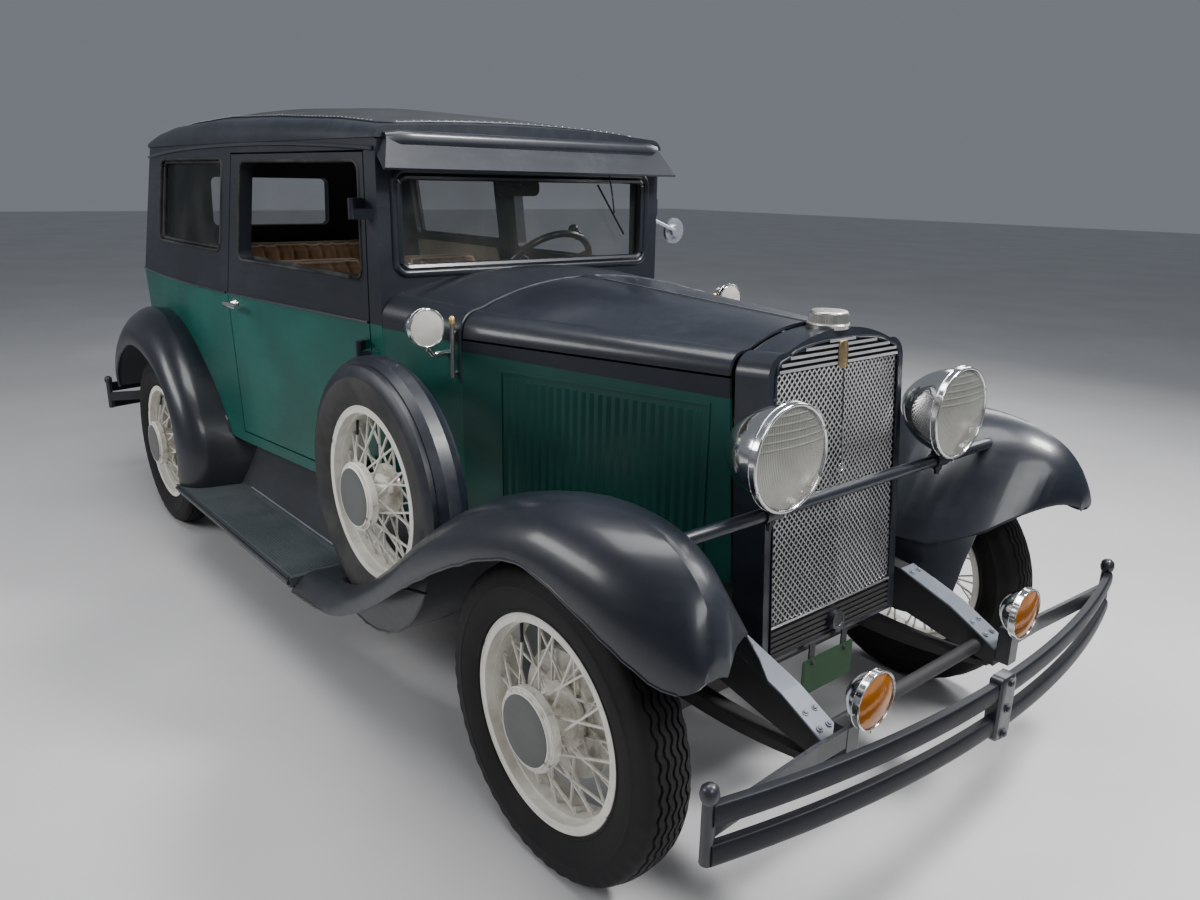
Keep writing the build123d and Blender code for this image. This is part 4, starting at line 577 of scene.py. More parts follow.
def ring(centre, across, over, steps):
    """Points around a centre, from two half axes."""
    turns = [2 * math.pi * k / steps for k in range(steps)]
    return [centre + across * math.cos(turn) + over * math.sin(turn) for turn in turns]


def square_to(axis):
    """An axis of length one and two more square to it."""
    axis = Vector(axis).normalized()
    side = axis.orthogonal().normalized()
    return axis, side, axis.cross(side)


class Mesh:
    """Vertices and faces of one piece, gathered from simple forms."""

    def __init__(self):
        self.verts = []
        self.faces = []

    def add(self, verts, faces):
        base = len(self.verts)
        self.verts += [Vector(v) for v in verts]
        self.faces += [tuple(base + i for i in f) for f in faces]
        return self

    def box(self, centre, size, turn=None):
        """Box about a centre, turned by a 3 x 3 matrix."""
        half = Vector(size) / 2
        points = []
        for corner in [Vector((x, y, z)) for x in (-1, 1) for y in (-1, 1) for z in (-1, 1)]:
            place = corner * half
            points.append(Vector(centre) + (turn @ place if turn else place))
        sides = [(0, 1, 3, 2), (4, 6, 7, 5), (0, 4, 5, 1), (2, 3, 7, 6), (0, 2, 6, 4), (1, 5, 7, 3)]
        return self.add(points, sides)

    def tube(self, points, radius, sides=10, closed=False, flat=1.0, up=None):
        """Round or oval bar along points."""
        points = [Vector(p) for p in points]
        count = len(points)
        rings = []
        for i, p in enumerate(points):
            before = points[i - 1] if (i or closed) else p
            after = points[(i + 1) % count] if (i + 1 < count or closed) else p
            run = (after - before).normalized()
            ref = Vector(up) if up else (Vector((0, 0, 1)) if abs(run.z) < 0.9 else Vector((1, 0, 0)))
            across = run.cross(ref).normalized()
            r = radius[i] if isinstance(radius, (list, tuple)) else radius
            rings.append(ring(p, across * r, across.cross(run) * (r * flat), sides))
        return self.rings(rings, closed)

    def rings(self, rings, closed=False):
        """Skin over rings with the same number of points, capped unless they close."""
        verts, faces = grid(rings, closed, True)
        if not closed:
            sides = len(rings[0])
            faces += [tuple(range(sides)), tuple(range(len(verts) - sides, len(verts)))]
        return self.add(verts, faces)

    def plates(self, loop, *places):
        """Flat plate of a Y and Z outline between places along X."""
        return self.rings([[Vector((x, y, z)) for y, z in loop] for x in places])

    def turned(self, profile, centre, axis, steps=48):
        """Form turned about an axis from distance, radius points."""
        axis, side, up = square_to(axis)
        rings = []
        for along, radius in profile:
            size = max(radius, 1e-5)
            rings.append(ring(Vector(centre) + axis * along, side * size, up * size, steps))
        return self.rings(rings)

    def hoop(self, centre, axis, radius, bar, steps=72):
        """Round bar bent to a ring about an axis."""
        axis, side, up = square_to(axis)
        return self.tube(ring(Vector(centre), side * radius, up * radius, steps), bar, 10, closed=True)

    def both_sides(self):
        """Adds the mirror image across the car."""
        verts = [Vector((v.x, -v.y, v.z)) for v in self.verts]
        return self.add(verts, [tuple(reversed(f)) for f in self.faces])

    def make(self, name, material, slot, body="root", **settings):
        return add_mesh(name, self.verts, self.faces, material, body, slot, **settings)


def grid(rows, closed_rows=False, closed_cols=False):
    """Quads over rows of points."""
    verts = [v for row in rows for v in row]
    width = len(rows[0])
    faces = []
    for i in range(len(rows) - (0 if closed_rows else 1)):
        j = (i + 1) % len(rows)
        for k in range(width - (0 if closed_cols else 1)):
            m = (k + 1) % width
            faces.append((i * width + k, i * width + m, j * width + m, j * width + k))
    return verts, faces


TREES = {}


def tree_of(mesh):
    """Search tree of a mesh's faces."""
    return BVHTree.FromPolygons([v.co for v in mesh.vertices], [tuple(f.vertices) for f in mesh.polygons])


def cast(node, start, ahead):
    """First point where a ray meets a CAD node, or None."""
    if node not in TREES:
        TREES[node] = tree_of(NODES[node].data)
    return TREES[node].ray_cast(Vector(start), Vector(ahead))[0]


# Values that a user may change

class CarColours(bpy.types.PropertyGroup):
    coach_black: bpy.props.FloatVectorProperty(
        name="Coach black", description="Enamel of the fenders, bonnet top and roof",
        default=(0.0060, 0.0085, 0.0150), subtype="COLOR", min=0, max=1)
    coach_green: bpy.props.FloatVectorProperty(
        name="Coach green", description="Enamel of the body sides and doors",
        default=(0.0015, 0.0820, 0.0650), subtype="COLOR", min=0, max=1)
    wheel_cream: bpy.props.FloatVectorProperty(
        name="Wheel cream", description="Enamel of the wire wheels",
        default=(0.80, 0.775, 0.70), subtype="COLOR", min=0, max=1)
    plate_green: bpy.props.FloatVectorProperty(
        name="Plate green", description="Enamel of the blank number plate",
        default=(0.006, 0.045, 0.012), subtype="COLOR", min=0, max=1)


class CarSizes(bpy.types.PropertyGroup):
    guard_pitch: bpy.props.FloatProperty(
        name="Guard pitch", description="Distance between the crossing strands of the stone guard",
        default=0.0170, unit="LENGTH", min=0.006, max=0.04)
    tread_steps: bpy.props.IntProperty(
        name="Tread steps", description="Points of each tyre rib around the wheel",
        default=192, min=48, max=360)
    bead_pitch: bpy.props.FloatProperty(
        name="Bead pitch", description="Distance between the beads along the roof covering",
        default=0.028, unit="LENGTH", min=0.01, max=0.1)
    cushion_cap: bpy.props.FloatProperty(
        name="Cushion cap", description="Furthest that a point of a cushion may swell",
        default=0.020, unit="LENGTH", min=0.0, max=0.05)
    cushion_voxel: bpy.props.FloatProperty(
        name="Cushion voxel", description="Size of the cells that the cushions are remeshed with",
        default=0.012, unit="LENGTH", min=0.004, max=0.03)


# Finishes of the CAD nodes

FINISH_NODES = {
    "chassis": ("chassis_frame", "front_axle", "rear_axle", "leaf_springs", "fuel_tank", "steering_column",
                "knuckle_left", "knuckle_right", "tie_rod"),
    "black": ("radiator_shell", "front_fenders", "rear_fenders", "lamp_bar", "bumpers", "bonnet_left",
              "bonnet_right"),
    "body": ("body_shell", "door_left", "door_right"), "cowl": ("cowl",), "side": ("bonnet_sides",),
    "roof": ("roof",), "bright": ("headlamps", "small_lamps"), "cap": ("radiator_cap",), "satin": ("mirror",),
    "slat": ("stone_guard",), "strap": ("horn_straps",), "mat": ("running_boards",), "cover": ("spare_tyres",),
    "iron": ("engine_block",), "exhaust": ("exhaust",), "glass": ("window_glass",), "carpet": ("floor",),
    "velour": ("seats",), "moulded": ("steering_wheel",),
}
WHEEL_CENTRES = {
    "%s_%s" % (end, name): (x, side * HALF_TRACK, WHEEL_Z)
    for end, x in (("front", FRONT_X), ("rear", REAR_X)) for name, side in SIDES
}


class CAR_OT_finishes(bpy.types.Operator):
    """Paints every metal, glass and rubber piece of the car"""
    bl_idname = "car.finishes"
    bl_label = "Finishes"

    def execute(self, context):
        for finish, nodes in FINISH_NODES.items():
            for node in nodes:
                set_finish(node, material_of(finish))
        for place, centre in WHEEL_CENTRES.items():
            set_finish("wheel_" + place, wheel_paint("wheel_cream_" + place, centre))
            set_finish("tyre_" + place, material_of("tyre"))
        set_finish("spare_wheels", wheel_paint("wheel_cream_spare", SPARE))
        return {"FINISHED"}


def set_finish(node, material):
    """Gives a CAD node its finish in every slot."""
    obj = NODES[node]
    if not obj.material_slots:
        obj.data.materials.append(material)
    for entry in obj.material_slots:
        entry.material = material
    obj.data.shade_smooth()
    obj.data.set_sharp_from_angle(angle=math.radians(32.0))


# Tyres

TYRE_RADIUS, TYRE_CROWN, SHOULDER_DROP = 0.3718, 0.050, 0.0085
GROOVES = (-0.036, -0.018, 0.0, 0.018, 0.036)
GROOVE_TOP, GROOVE_FLOOR, GROOVE_DEPTH = 0.0036, 0.0022, 0.006
ZIGZAG, ZIGZAG_EDGE = 0.0034, 0.004
LUG_LOW, LUG_HIGH, LUG_DEPTH = 0.338, 0.362, 0.0035
TREAD_LOW = 0.355
TYRE_WALL = (
    # distance from the tyre's middle plane, radius
    (0.0565, 0.3590), (0.0605, 0.3500), (0.0628, 0.3405), (0.0648, 0.3300), (0.0662, 0.3180),
    (0.0672, 0.3165), (0.0672, 0.3125), (0.0660, 0.3110), (0.0650, 0.2980), (0.0622, 0.2860),
    (0.0585, 0.2740), (0.0545, 0.2630), (0.0560, 0.2600), (0.0545, 0.2560), (0.0500, 0.2525),
    (0.0452, 0.2515), (0.0452, 0.2390),
)


def tyre_rows(steps):
    """Rows of a tyre about the origin, axis Y: zigzag grooves, shoulder lugs and wall rings."""
    edge = [(-TYRE_CROWN, 0.0)]
    for y in GROOVES:
        edge += [(y - GROOVE_TOP, 0.0), (y - GROOVE_FLOOR, -GROOVE_DEPTH)]
        edge += [(y + GROOVE_FLOOR, -GROOVE_DEPTH), (y + GROOVE_TOP, 0.0)]
    edge += [(TYRE_CROWN, 0.0)]
    tread = [(y, TYRE_RADIUS - SHOULDER_DROP * (y / TYRE_CROWN) ** 2 + cut) for y, cut in edge]
    line = [(-y, r) for y, r in reversed(TYRE_WALL)] + tread + list(TYRE_WALL)
    rows = []
    for k in range(steps):
        angle = 2 * math.pi * k / steps
        shift = ZIGZAG if (k // 2) % 2 else -ZIGZAG
        row = []
        for y, r in line:
            if abs(y) < TYRE_CROWN - ZIGZAG_EDGE and r > TREAD_LOW:
                y += shift
            elif k % 4 < 2 and LUG_LOW < r < LUG_HIGH:
                r -= LUG_DEPTH
            row.append(Vector((r * math.cos(angle), y, r * math.sin(angle))))
        rows.append(row)
    return rows


class CAR_OT_tyres(bpy.types.Operator):
    """Builds the road tyres with their ribbed zigzag tread"""
    bl_idname = "car.tyres"
    bl_label = "Tyres"

    def execute(self, context):
        verts, faces = grid(tyre_rows(context.scene.car_sizes.tread_steps), closed_rows=True, closed_cols=True)
        for place, centre in WHEEL_CENTRES.items():
            moved = [Vector(v) + Vector(centre) for v in verts]
            obj = add_mesh("tread_" + place, moved, faces, "tyre", place + "_wheel", "tyre_rubber", angle=30.0)
            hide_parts("tyre_" + place)
        return {"FINISHED"}


# Places on the CAD nodes

def radiator_at(across, up, out):
    """Point in the radiator's leaning plane: across the car, up the plane and out of it."""
    over = Vector((-math.sin(RADIATOR_LEAN), 0.0, math.cos(RADIATOR_LEAN)))
    ahead = Vector((math.cos(RADIATOR_LEAN), 0.0, math.sin(RADIATOR_LEAN)))
    return RADIATOR_FOOT + Vector((0.0, across, 0.0)) + over * up + ahead * out


def radiator_turn():
    """Rotation whose columns are across, up and out of the radiator's plane."""
    origin = radiator_at(0, 0, 0)
    columns = [radiator_at(*step) - origin for step in ((1, 0, 0), (0, 1, 0), (0, 0, 1))]
    return Matrix(columns).transposed()


def side_hit(nodes, x, z, side=1, gap=0.0):
    """Point on the outer side of CAD nodes at x and z, moved out by gap, or None."""
    hits = [cast(node, (x, side * 1.6, z), (0, -side, 0)) for node in nodes]
    hits = [place for place in hits if place]
    if not hits:
        return None
    best = max(hits, key=lambda place: abs(place.y))
    return Vector((best.x, best.y + side * gap, best.z))


def top_hit(nodes, x, y, gap=0.0):
    """Point on top of CAD nodes at x and y, raised by gap, or None."""
    hits = [cast(node, (x, y, 2.6), (0, 0, -1)) for node in nodes]
    heights = [place.z for place in hits if place]
    return Vector((x, y, max(heights) + gap)) if heights else None


def spread(start, end, count):
    """Evenly spaced values from start to end."""
    return [start + (end - start) * i / (count - 1) for i in range(count)]


def rounded_loop(y0, y1, z0, z1, radius, steps=7):
    """Closed rectangle of two coordinates with round corners."""
    points = []
    for cy, cz, start in (
        (y1 - radius, z1 - radius, 0.0), (y0 + radius, z1 - radius, 0.5),
        (y0 + radius, z0 + radius, 1.0), (y1 - radius, z0 + radius, 1.5)
    ):
        for k in range(steps):
            t = math.pi * (start + 0.5 * k / (steps - 1))
            points.append((cy + radius * math.cos(t), cz + radius * math.sin(t)))
    return points


def dense(points, step=0.03):
    """The closed loop with points added on its long runs."""
    out = []
    for a, b in zip(points, points[1:] + points[:1]):
        count = max(1, int(math.dist(a, b) / step))
        for i in range(count):
            out.append((a[0] + (b[0] - a[0]) * i / count, a[1] + (b[1] - a[1]) * i / count))
    return out


# Fenders

INNER_APRON = (
    # x, upper y, upper z, lower y, lower z
    (1.120, 0.4730, 0.586, 0.3860, 0.556), (1.340, 0.4130, 0.632, 0.3750, 0.554),
    (1.560, 0.3770, 0.596, 0.3745, 0.552), (1.720, 0.3830, 0.582, 0.3745, 0.518),
    (1.800, 0.4220, 0.600, 0.3745, 0.494), (1.850, 0.4520, 0.618, 0.3745, 0.476),
    (1.866, 0.4720, 0.630, 0.3760, 0.470),
)
APRON_HALF_THICK, APRON_HOLLOW = 0.0015, 0.006
WELT_START_Y, WELT_LOW_Z, WELT_REAR_X = 0.664, 0.53, -1.715
FENDER_EDGE_Y = 0.755


class CAR_OT_skins(bpy.types.Operator):
    """Puts smooth pressed-steel skins in place of the fenders and the roof"""
    bl_idname = "car.skins"
    bl_label = "Skins"

    def execute(self, context):
        for node, finish in (("front_fenders", "black"), ("rear_fenders", "black"), ("roof", "roof")):
            form = bmesh.new()
            form.from_mesh(NODES[node].data)
            bmesh.ops.remove_doubles(form, verts=form.verts, dist=0.0003)
            form.verts.index_update()
            verts = [v.co.copy() for v in form.verts]
            faces = [[v.index for v in f.verts] for f in form.faces]
            form.free()
            obj = add_mesh(node + "_skin", verts, faces, finish, "root", finish + "_paint", angle=26.0)
            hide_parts(node)
        fender_beads()
        inner_aprons()
        fender_welts()
        return {"FINISHED"}


def inner_aprons():
    """Thin aprons that close the gap between the fenders and the frame."""
    mesh = Mesh()
    rows = []
    half = Vector((0, APRON_HALF_THICK, 0))
    for x, high_y, high_z, low_y, low_z in INNER_APRON:
        mid = Vector((x, (high_y + low_y) / 2 - APRON_HOLLOW, (high_z + low_z) / 2))
        line = [Vector((x, high_y, high_z)), mid, Vector((x, low_y, low_z))]
        rows.append([p + half for p in line] + [p - half for p in reversed(line)])
    mesh.rings(rows).both_sides().make("inner_aprons", "black", "black_paint", angle=40.0)


def fender_welts():
    """Round welting between the rear fenders and the body."""
    mesh = Mesh()
    for _, side in SIDES:
        line = []
        for turn in spread(math.radians(-12), math.radians(176), 70):
            ahead = Vector((math.cos(turn), 0.0, math.sin(turn)))
            y = WELT_START_Y
            for _ in range(3):
                place = cast("rear_fenders", Vector((REAR_X, side * y, WHEEL_Z)) + ahead * 1.1, -ahead)
                if place is None or place.z < WELT_LOW_Z or place.x < WELT_REAR_X:
                    break
                y = body_side(place.x, place.z, 1, 0.003).y
            else:
                line.append(Vector((place.x, side * y, place.z)) + ahead * 0.002)
        mesh.tube(line, 0.0052, 8)
    mesh.make("fender_welts", "black", "black_paint")


def fender_beads():
    """Rolled bead along the outer edge of the front fenders."""
    line = [edge_point("front_fenders", x) for x in spread(0.372, 1.99, 60)]
    bead = Mesh().tube([point for point in line if point], 0.0042, 8)
    bead.both_sides().make("fender_beads", "black", "black_paint")


def edge_point(node, x):
    """Lowest point of a fender's outer edge at x, found by rays from outside, or None."""
    for z in spread(0.20, 1.0, 161):
        place = cast(node, (x, 1.2, z), (0, -1, 0))
        if place and place.y > FENDER_EDGE_Y:
            return Vector((x, place.y - 0.002, z))
    return None


# Stone guard

GUARD_LOW, GUARD_HIGH = 0.094, 0.6945
GUARD_HALF_LOW, GUARD_HALF_HIGH = 0.2462, 0.2372
GUARD_DEPTH, GUARD_CREASE = -0.0046, 0.0112
STRAND_CLIMB, STRAND_HALF = 1.12, 0.0023
TOP_STRIPS = ((0.700, 0.2300), (0.714, 0.2230), (0.728, 0.1930), (0.742, 0.1380), (0.7535, 0.0500))
BADGE_UP, BADGE_HALF_WIDE, BADGE_HALF_HIGH = 0.7190, 0.0185, 0.0340
BADGE_STEPS = ((0.0, 0.0045), (0.0, 0.0075), (0.0022, 0.0090), (0.0026, 0.0082), (0.0120, 0.0086))
CRANK_BOSS = ((0.0178, 0.0), (0.0178, 0.0150), (0.0196, 0.0165), (0.0196, 0.0245), (0.010, 0.0262), (0.0, 0.0275))


def guard_half(up):
    """Half width of the guard's opening at a height in its plane."""
    part = (up - GUARD_LOW) / (GUARD_HIGH - GUARD_LOW)
    return GUARD_HALF_LOW + (GUARD_HALF_HIGH - GUARD_HALF_LOW) * part


def guard_out(across):
    """Distance of the lattice out of its plane, with the upright crease in the middle."""
    return GUARD_DEPTH + GUARD_CREASE * (1 - abs(across) / GUARD_HALF_LOW)


def strand_span(slope, offset):
    """Part of a strand, on the right half, that lies inside the opening, or None."""
    inside = []
    for across in spread(0.0, GUARD_HALF_LOW, 241):
        up = offset + slope * across
        if GUARD_LOW < up < GUARD_HIGH and across < guard_half(up):
            inside.append(across)
    return (inside[0], inside[-1]) if len(inside) > 2 else None


def strand(lattice, start, end):
    """Flat strand with a raised ridge between two points."""
    ahead = radiator_turn().col[2]
    across = (end - start).normalized().cross(ahead).normalized() * STRAND_HALF
    low, high = ahead * 0.0006, ahead * 0.0008
    lattice.rings([[p + across - low, p + high, p - across - low] for p in (start, end)])


def guard_lattice(pitch):
    """Crossing strands of the guard."""
    lattice = Mesh()
    for slope, depth in ((STRAND_CLIMB, 0.0), (-STRAND_CLIMB, 0.0009)):
        offset = GUARD_LOW - GUARD_HALF_LOW * STRAND_CLIMB
        while offset < GUARD_HIGH + GUARD_HALF_LOW * STRAND_CLIMB:
            span = strand_span(slope, offset)
            if span:
                for side in (1, -1):
                    ends = [radiator_at(side * a, offset + slope * a, guard_out(a) + depth) for a in span]
                    strand(lattice, *ends)
            offset += pitch * STRAND_CLIMB
    lattice.make("guard_lattice", "guard", "guard_nickel", smooth=False)


def badge_plate():
    """Plain plate with round corners and a sunk face."""
    rows = []
    for inset, out in BADGE_STEPS:
        row = []
        for t in spread(0, 2 * math.pi * 35 / 36, 36):
            across = math.copysign(abs(math.cos(t)) ** 0.5, math.cos(t)) * (BADGE_HALF_WIDE - inset)
            up = math.copysign(abs(math.sin(t)) ** 0.6, math.sin(t)) * (BADGE_HALF_HIGH - inset)
            row.append(radiator_at(across, BADGE_UP + up, out))
        rows.append(row)
    Mesh().rings(rows).make("badge_plate", "bronze", "guard_nickel", angle=30.0)


def guard_outline():
    """Points of the radiator's opening, across and up its plane."""
    right = [(0.2465, 0.012), (0.2378, 0.690), (0.2330, 0.708), (0.2215, 0.722), (0.1890, 0.7306)]
    arc = [(0.1890 * math.cos(t), 0.7306 + 0.0262 * math.sin(t)) for t in spread(0.15, math.pi - 0.15, 17)]
    left = [(-a, u) for a, u in reversed(right)]
    return right + arc + left


class CAR_OT_guard(bpy.types.Operator):
    """Weaves the stone guard and lays the bright strips, the plain badge plate and the border"""
    bl_idname = "car.guard"
    bl_label = "Stone guard"

    def execute(self, context):
        guard_lattice(context.scene.car_sizes.guard_pitch)
        turn = radiator_turn()
        strips = Mesh()
        for up, half in TOP_STRIPS:
            strips.box(radiator_at(0, up, 0.0046), (2 * half, 0.0068, 0.0014), turn)
        strips.box(radiator_at(0, 0.0905, 0.0018), (0.486, 0.0052, 0.0016), turn)
        strips.make("guard_strips", "strip", "guard_nickel", smooth=False)
        badge_plate()
        border = Mesh().tube([radiator_at(a, u, 0.0012) for a, u in guard_outline()], 0.0032, 8, closed=True)
        border.make("guard_border", "black", "black_paint")
        wire_end = radiator_at(0, 0.560, 0.0100)
        wire = Mesh().tube([radiator_at(0, 0.684, 0.0092), wire_end], 0.0013, 8)
        wire.make("guard_wire", "slat", "guard_nickel")
        tag = Mesh().tube([wire_end, radiator_at(0, 0.452, 0.0108)], 0.0021, 8)
        tag.hoop(radiator_at(0, 0.443, 0.0108), turn.col[2], 0.0088, 0.0016, 32)
        tag.make("guard_tag", "bright", "guard_nickel")
        boss = Mesh().turned(CRANK_BOSS, radiator_at(0, 0.046, 0.0), turn.col[2], 32)
        boss.make("crank_boss", "black", "black_paint")
        return {"FINISHED"}


# Lamps

LAMPS = (
    # name, centre of the lens, its axis, radius of the lamp, bulge, finish of the lens
    ("headlamp", (1.844, 0.3375, 0.981), (1, 0, 0), 0.120, 0.012, "fluted"),
    ("fog_lamp", (2.092, 0.320, 0.522), (1, 0, 0), 0.066, 0.008, "amber"),
    ("cowl_lamp", (0.805, 0.600, 1.142), (1, 0, 0), 0.053, 0.006, "frosted"),
    ("tail_lamp", (-1.985, 0.620, 0.760), (-1, 0, 0), 0.042, 0.006, "red"),
)
RIM_SCREW = ((-0.006, 0.0), (-0.006, 0.0030), (0.004, 0.0030), (0.006, 0.0018), (0.006, 0.0))
LAMP_CLAMP = (1.800, 0.3375, 0.848)
CLAMP_NUT = ((-0.012, 0.0), (-0.012, 0.012), (0.0, 0.012), (0.004, 0.007), (0.014, 0.007), (0.014, 0.0))
POST_X, POST_Y = 0.803, 0.5215
POST_CAP = ((0.0, 0.0), (0.0, 0.0078), (0.018, 0.0078), (0.022, 0.005), (0.024, 0.0))
LENS_EDGE = 0.0012


def dome(centre, axis, radius, bulge):
    """Curved lens over a lamp."""
    profile = [(LENS_EDGE * 0.2, radius), (LENS_EDGE, radius * 0.995)]
    for part in (0.95, 0.85, 0.7, 0.5, 0.3, 0.12, 0.0):
        profile.append((LENS_EDGE + bulge * (1 - part * part), radius * part))
    return Mesh().turned(profile, centre, axis, 72)


class CAR_OT_lamps(bpy.types.Operator):
    """Fits the lenses, rims, screws and clamps of all the lamps and the posts by the cowl"""
    bl_idname = "car.lamps"
    bl_label = "Lamps"

    def execute(self, context):
        for name, centre, axis, radius, bulge, finish in LAMPS:
            dome(centre, axis, radius * 0.925, bulge).both_sides().make(name + "_lenses", finish, "nickel")
            middle, ahead = Vector(centre), Vector(axis)
            rims = Mesh()
            rims.hoop(middle + ahead * 0.0020, axis, radius * 0.962, radius * 0.036)
            rims.hoop(middle - ahead * 0.012, axis, radius * 0.985, radius * 0.022)
            rims.turned(RIM_SCREW, middle + Vector((-0.004, 0, -radius - 0.004)), (0, 0, 1), 12)
            rims.both_sides().make(name + "_rims", "bright", "nickel")
        x, y, z = LAMP_CLAMP
        clamps = Mesh().tube([(x, y - 0.026, z), (x, y + 0.026, z)], 0.0195, 20)
        clamps.turned(CLAMP_NUT, (x, y, z - 0.026), (0, 0, -1), 6)
        clamps.tube([(x, y, z + 0.014), (x, y, z + 0.030)], [0.022, 0.018], 20)
        clamps.both_sides().make("lamp_clamps", "black", "black_paint")
        posts = Mesh().tube([(POST_X, POST_Y, 1.150), (POST_X, POST_Y, 0.996)], 0.0065, 12)
        posts.tube([(POST_X, POST_Y, 1.122), (POST_X - 0.003, 0.512, 1.122)], 0.006, 10)
        posts.tube([(POST_X, POST_Y, 1.010), (POST_X, 0.505, 1.010)], 0.006, 10)
        posts.both_sides().make("joint_posts", "dull", "black_paint")
        knobs = Mesh().turned(POST_CAP, (POST_X, POST_Y, 1.146), (0, 0, 1), 20)
        knobs.both_sides().make("post_caps", "brass", "nickel")
        return {"FINISHED"}


# Roof covering and mouldings

COVER_HALF, COVER_REAR_X, COVER_FRONT_X, COVER_CORNER = 0.497, -1.690, 0.400, 0.045
TACK = ((-0.002, 0.0028), (0.0, 0.0026), (0.0012, 0.0014), (0.0016, 0.0))
HEADER_SECTION = (
    # x, z
    (0.4640, 1.6580), (0.4780, 1.6612), (0.4880, 1.6600), (0.4945, 1.6550), (0.4975, 1.6470),
    (0.4985, 1.6350), (0.4990, 1.6225), (0.4965, 1.6200), (0.4880, 1.6190), (0.4700, 1.6400),
)
HEADER_HALF, HEADER_END = 0.5310, 0.026


class CAR_OT_covering(bpy.types.Operator):
    """Lays the roof cloth with its beads and tacks, and the drip and belt mouldings"""
    bl_idname = "car.covering"
    bl_label = "Roof covering and mouldings"

    def execute(self, context):
        ys = spread(-COVER_HALF, COVER_HALF, 31)
        rows = [[top_hit(["roof"], x, y, 0.0013) for y in ys] for x in spread(0.395, COVER_REAR_X, 66)]
        verts, faces = grid(rows)
        sheet = add_mesh("roof_cloth", verts, faces, "topping", "root", "roof_paint")
        roof_bead(ys)
        roof_tacks(context.scene.car_sizes.bead_pitch)
        drip = Mesh()
        for _, side in SIDES:
            line = [side_hit(["body_shell", "door_left", "door_right"], x, drip_height(x), side, 0.0015)
                    for x in spread(0.452, COVER_REAR_X, 80)]
            drip.tube([hit for hit in line if hit], 0.0085, 10, flat=0.8)
        drip.make("drip_mouldings", "black", "roof_paint")
        header_roll()
        belt_mouldings()
        return {"FINISHED"}


def roof_bead(ys):
    """Bead around the roof covering and across its rear edge."""
    bead = Mesh()
    corner = []
    for t in spread(0, math.pi / 2, 7):
        corner.append((COVER_FRONT_X - COVER_CORNER + COVER_CORNER * math.sin(t),
                       COVER_HALF - COVER_CORNER + COVER_CORNER * math.cos(t)))
    line = [(x, COVER_HALF) for x in spread(COVER_REAR_X, 0.340, 70)] + corner
    line += [(COVER_FRONT_X, y) for y in spread(0.44, 0.0, 14)]
    line += [(x, -y) for x, y in reversed(line[:-1])]
    for run in (line, [(COVER_REAR_X, y) for y in ys]):
        bead.tube([top_hit(["roof"], x, y, 0.0022) for x, y in run], 0.0036, 8)
    bead.make("roof_bead", "bead", "roof_paint")


def roof_tacks(pitch):
    """Domed tacks along the bead."""
    tacks = Mesh()
    places = [(0.33 - i * pitch, y) for y in (COVER_HALF, -COVER_HALF) for i in range(int(2.0 / pitch))]
    places += [(COVER_FRONT_X, -0.45 + i * pitch) for i in range(int(0.9 / pitch))]
    for x, y in places:
        place = top_hit(["roof"], x, y, 0.0060)
        if place:
            tacks.turned(TACK, place, (0, 0, 1), 8)
    tacks.make("roof_tacks", "dull", "nickel")


def header_roll():
    """Rolled edge of the roof over the sun visor."""
    rows = []
    for y in spread(-HEADER_HALF, HEADER_HALF, 25):
        past = max(0.0, abs(y) - (HEADER_HALF - HEADER_END)) / HEADER_END
        rows.append([Vector((x - 0.012 * past * past, y, z - 0.006 * past * past)) for x, z in HEADER_SECTION])
    Mesh().rings(rows).make("header_roll", "black", "roof_paint", angle=50.0)


def drip_height(x):
    """Height of the drip moulding along the car."""
    if x > -0.4:
        return 1.633 - 0.024 * ((x + 0.4) / 0.86) ** 2
    return 1.633 - 0.031 * ((x + 0.4) / 1.23) ** 2


def belt_mouldings():
    """Slim mouldings along the waist of the doors and the body."""
    body = Mesh()
    for _, side in SIDES:
        belt_line(body, "body_shell", side, -0.584, -1.74)
    body.make("belt_moulding", "black", "green_paint")
    for name, side in SIDES:
        door = "door_" + name
        moulding = belt_line(Mesh(), door, side, 0.386, -0.561)
        moulding.make("belt_moulding_" + door, "black", "green_paint", door)


def belt_line(mesh, node, side, x0, x1):
    """Moulding along a node's waist between two places."""
    line = [side_hit([node], x, BELT_Z + 0.003, side, 0.0004) for x in spread(x0, x1, 30)]
    return mesh.tube([p for p in line if p], 0.0052, 8, flat=0.9)


# Windows, doors and fittings

# Outlines: lowest and highest place along two axes, and the radius of the corners
SCREEN_OUTER = (-0.503, 0.503, 1.250, 1.553, 0.040)
SCREEN_INNER = (-0.484, 0.484, 1.268, 1.535, 0.026)
SIDE_WINDOW_OUTER = (-1.424, -0.646, 1.251, 1.586, 0.034)
SIDE_WINDOW_INNER = (-1.414, -0.656, 1.261, 1.576, 0.028)
BACK_WINDOW = (-0.303, 0.303, 1.282, 1.523, 0.032)
DOOR_WINDOW = (-0.486, 0.361, 1.231, 1.576, 0.034)
MIRROR_BACK = (-0.085, 0.085, 1.478, 1.532, 0.022)
MIRROR_FACE = (-0.081, 0.081, 1.482, 1.528, 0.019)

# Half widths of the flank at the front, the door's post, the widest place and the rear
FLANK_SILL = (0.548, 0.650, 0.668, 0.640)
FLANK_BELT = (0.558, 0.669, 0.688, 0.655)
FLANK_ROOF = (0.556, 0.607, 0.618, 0.585)

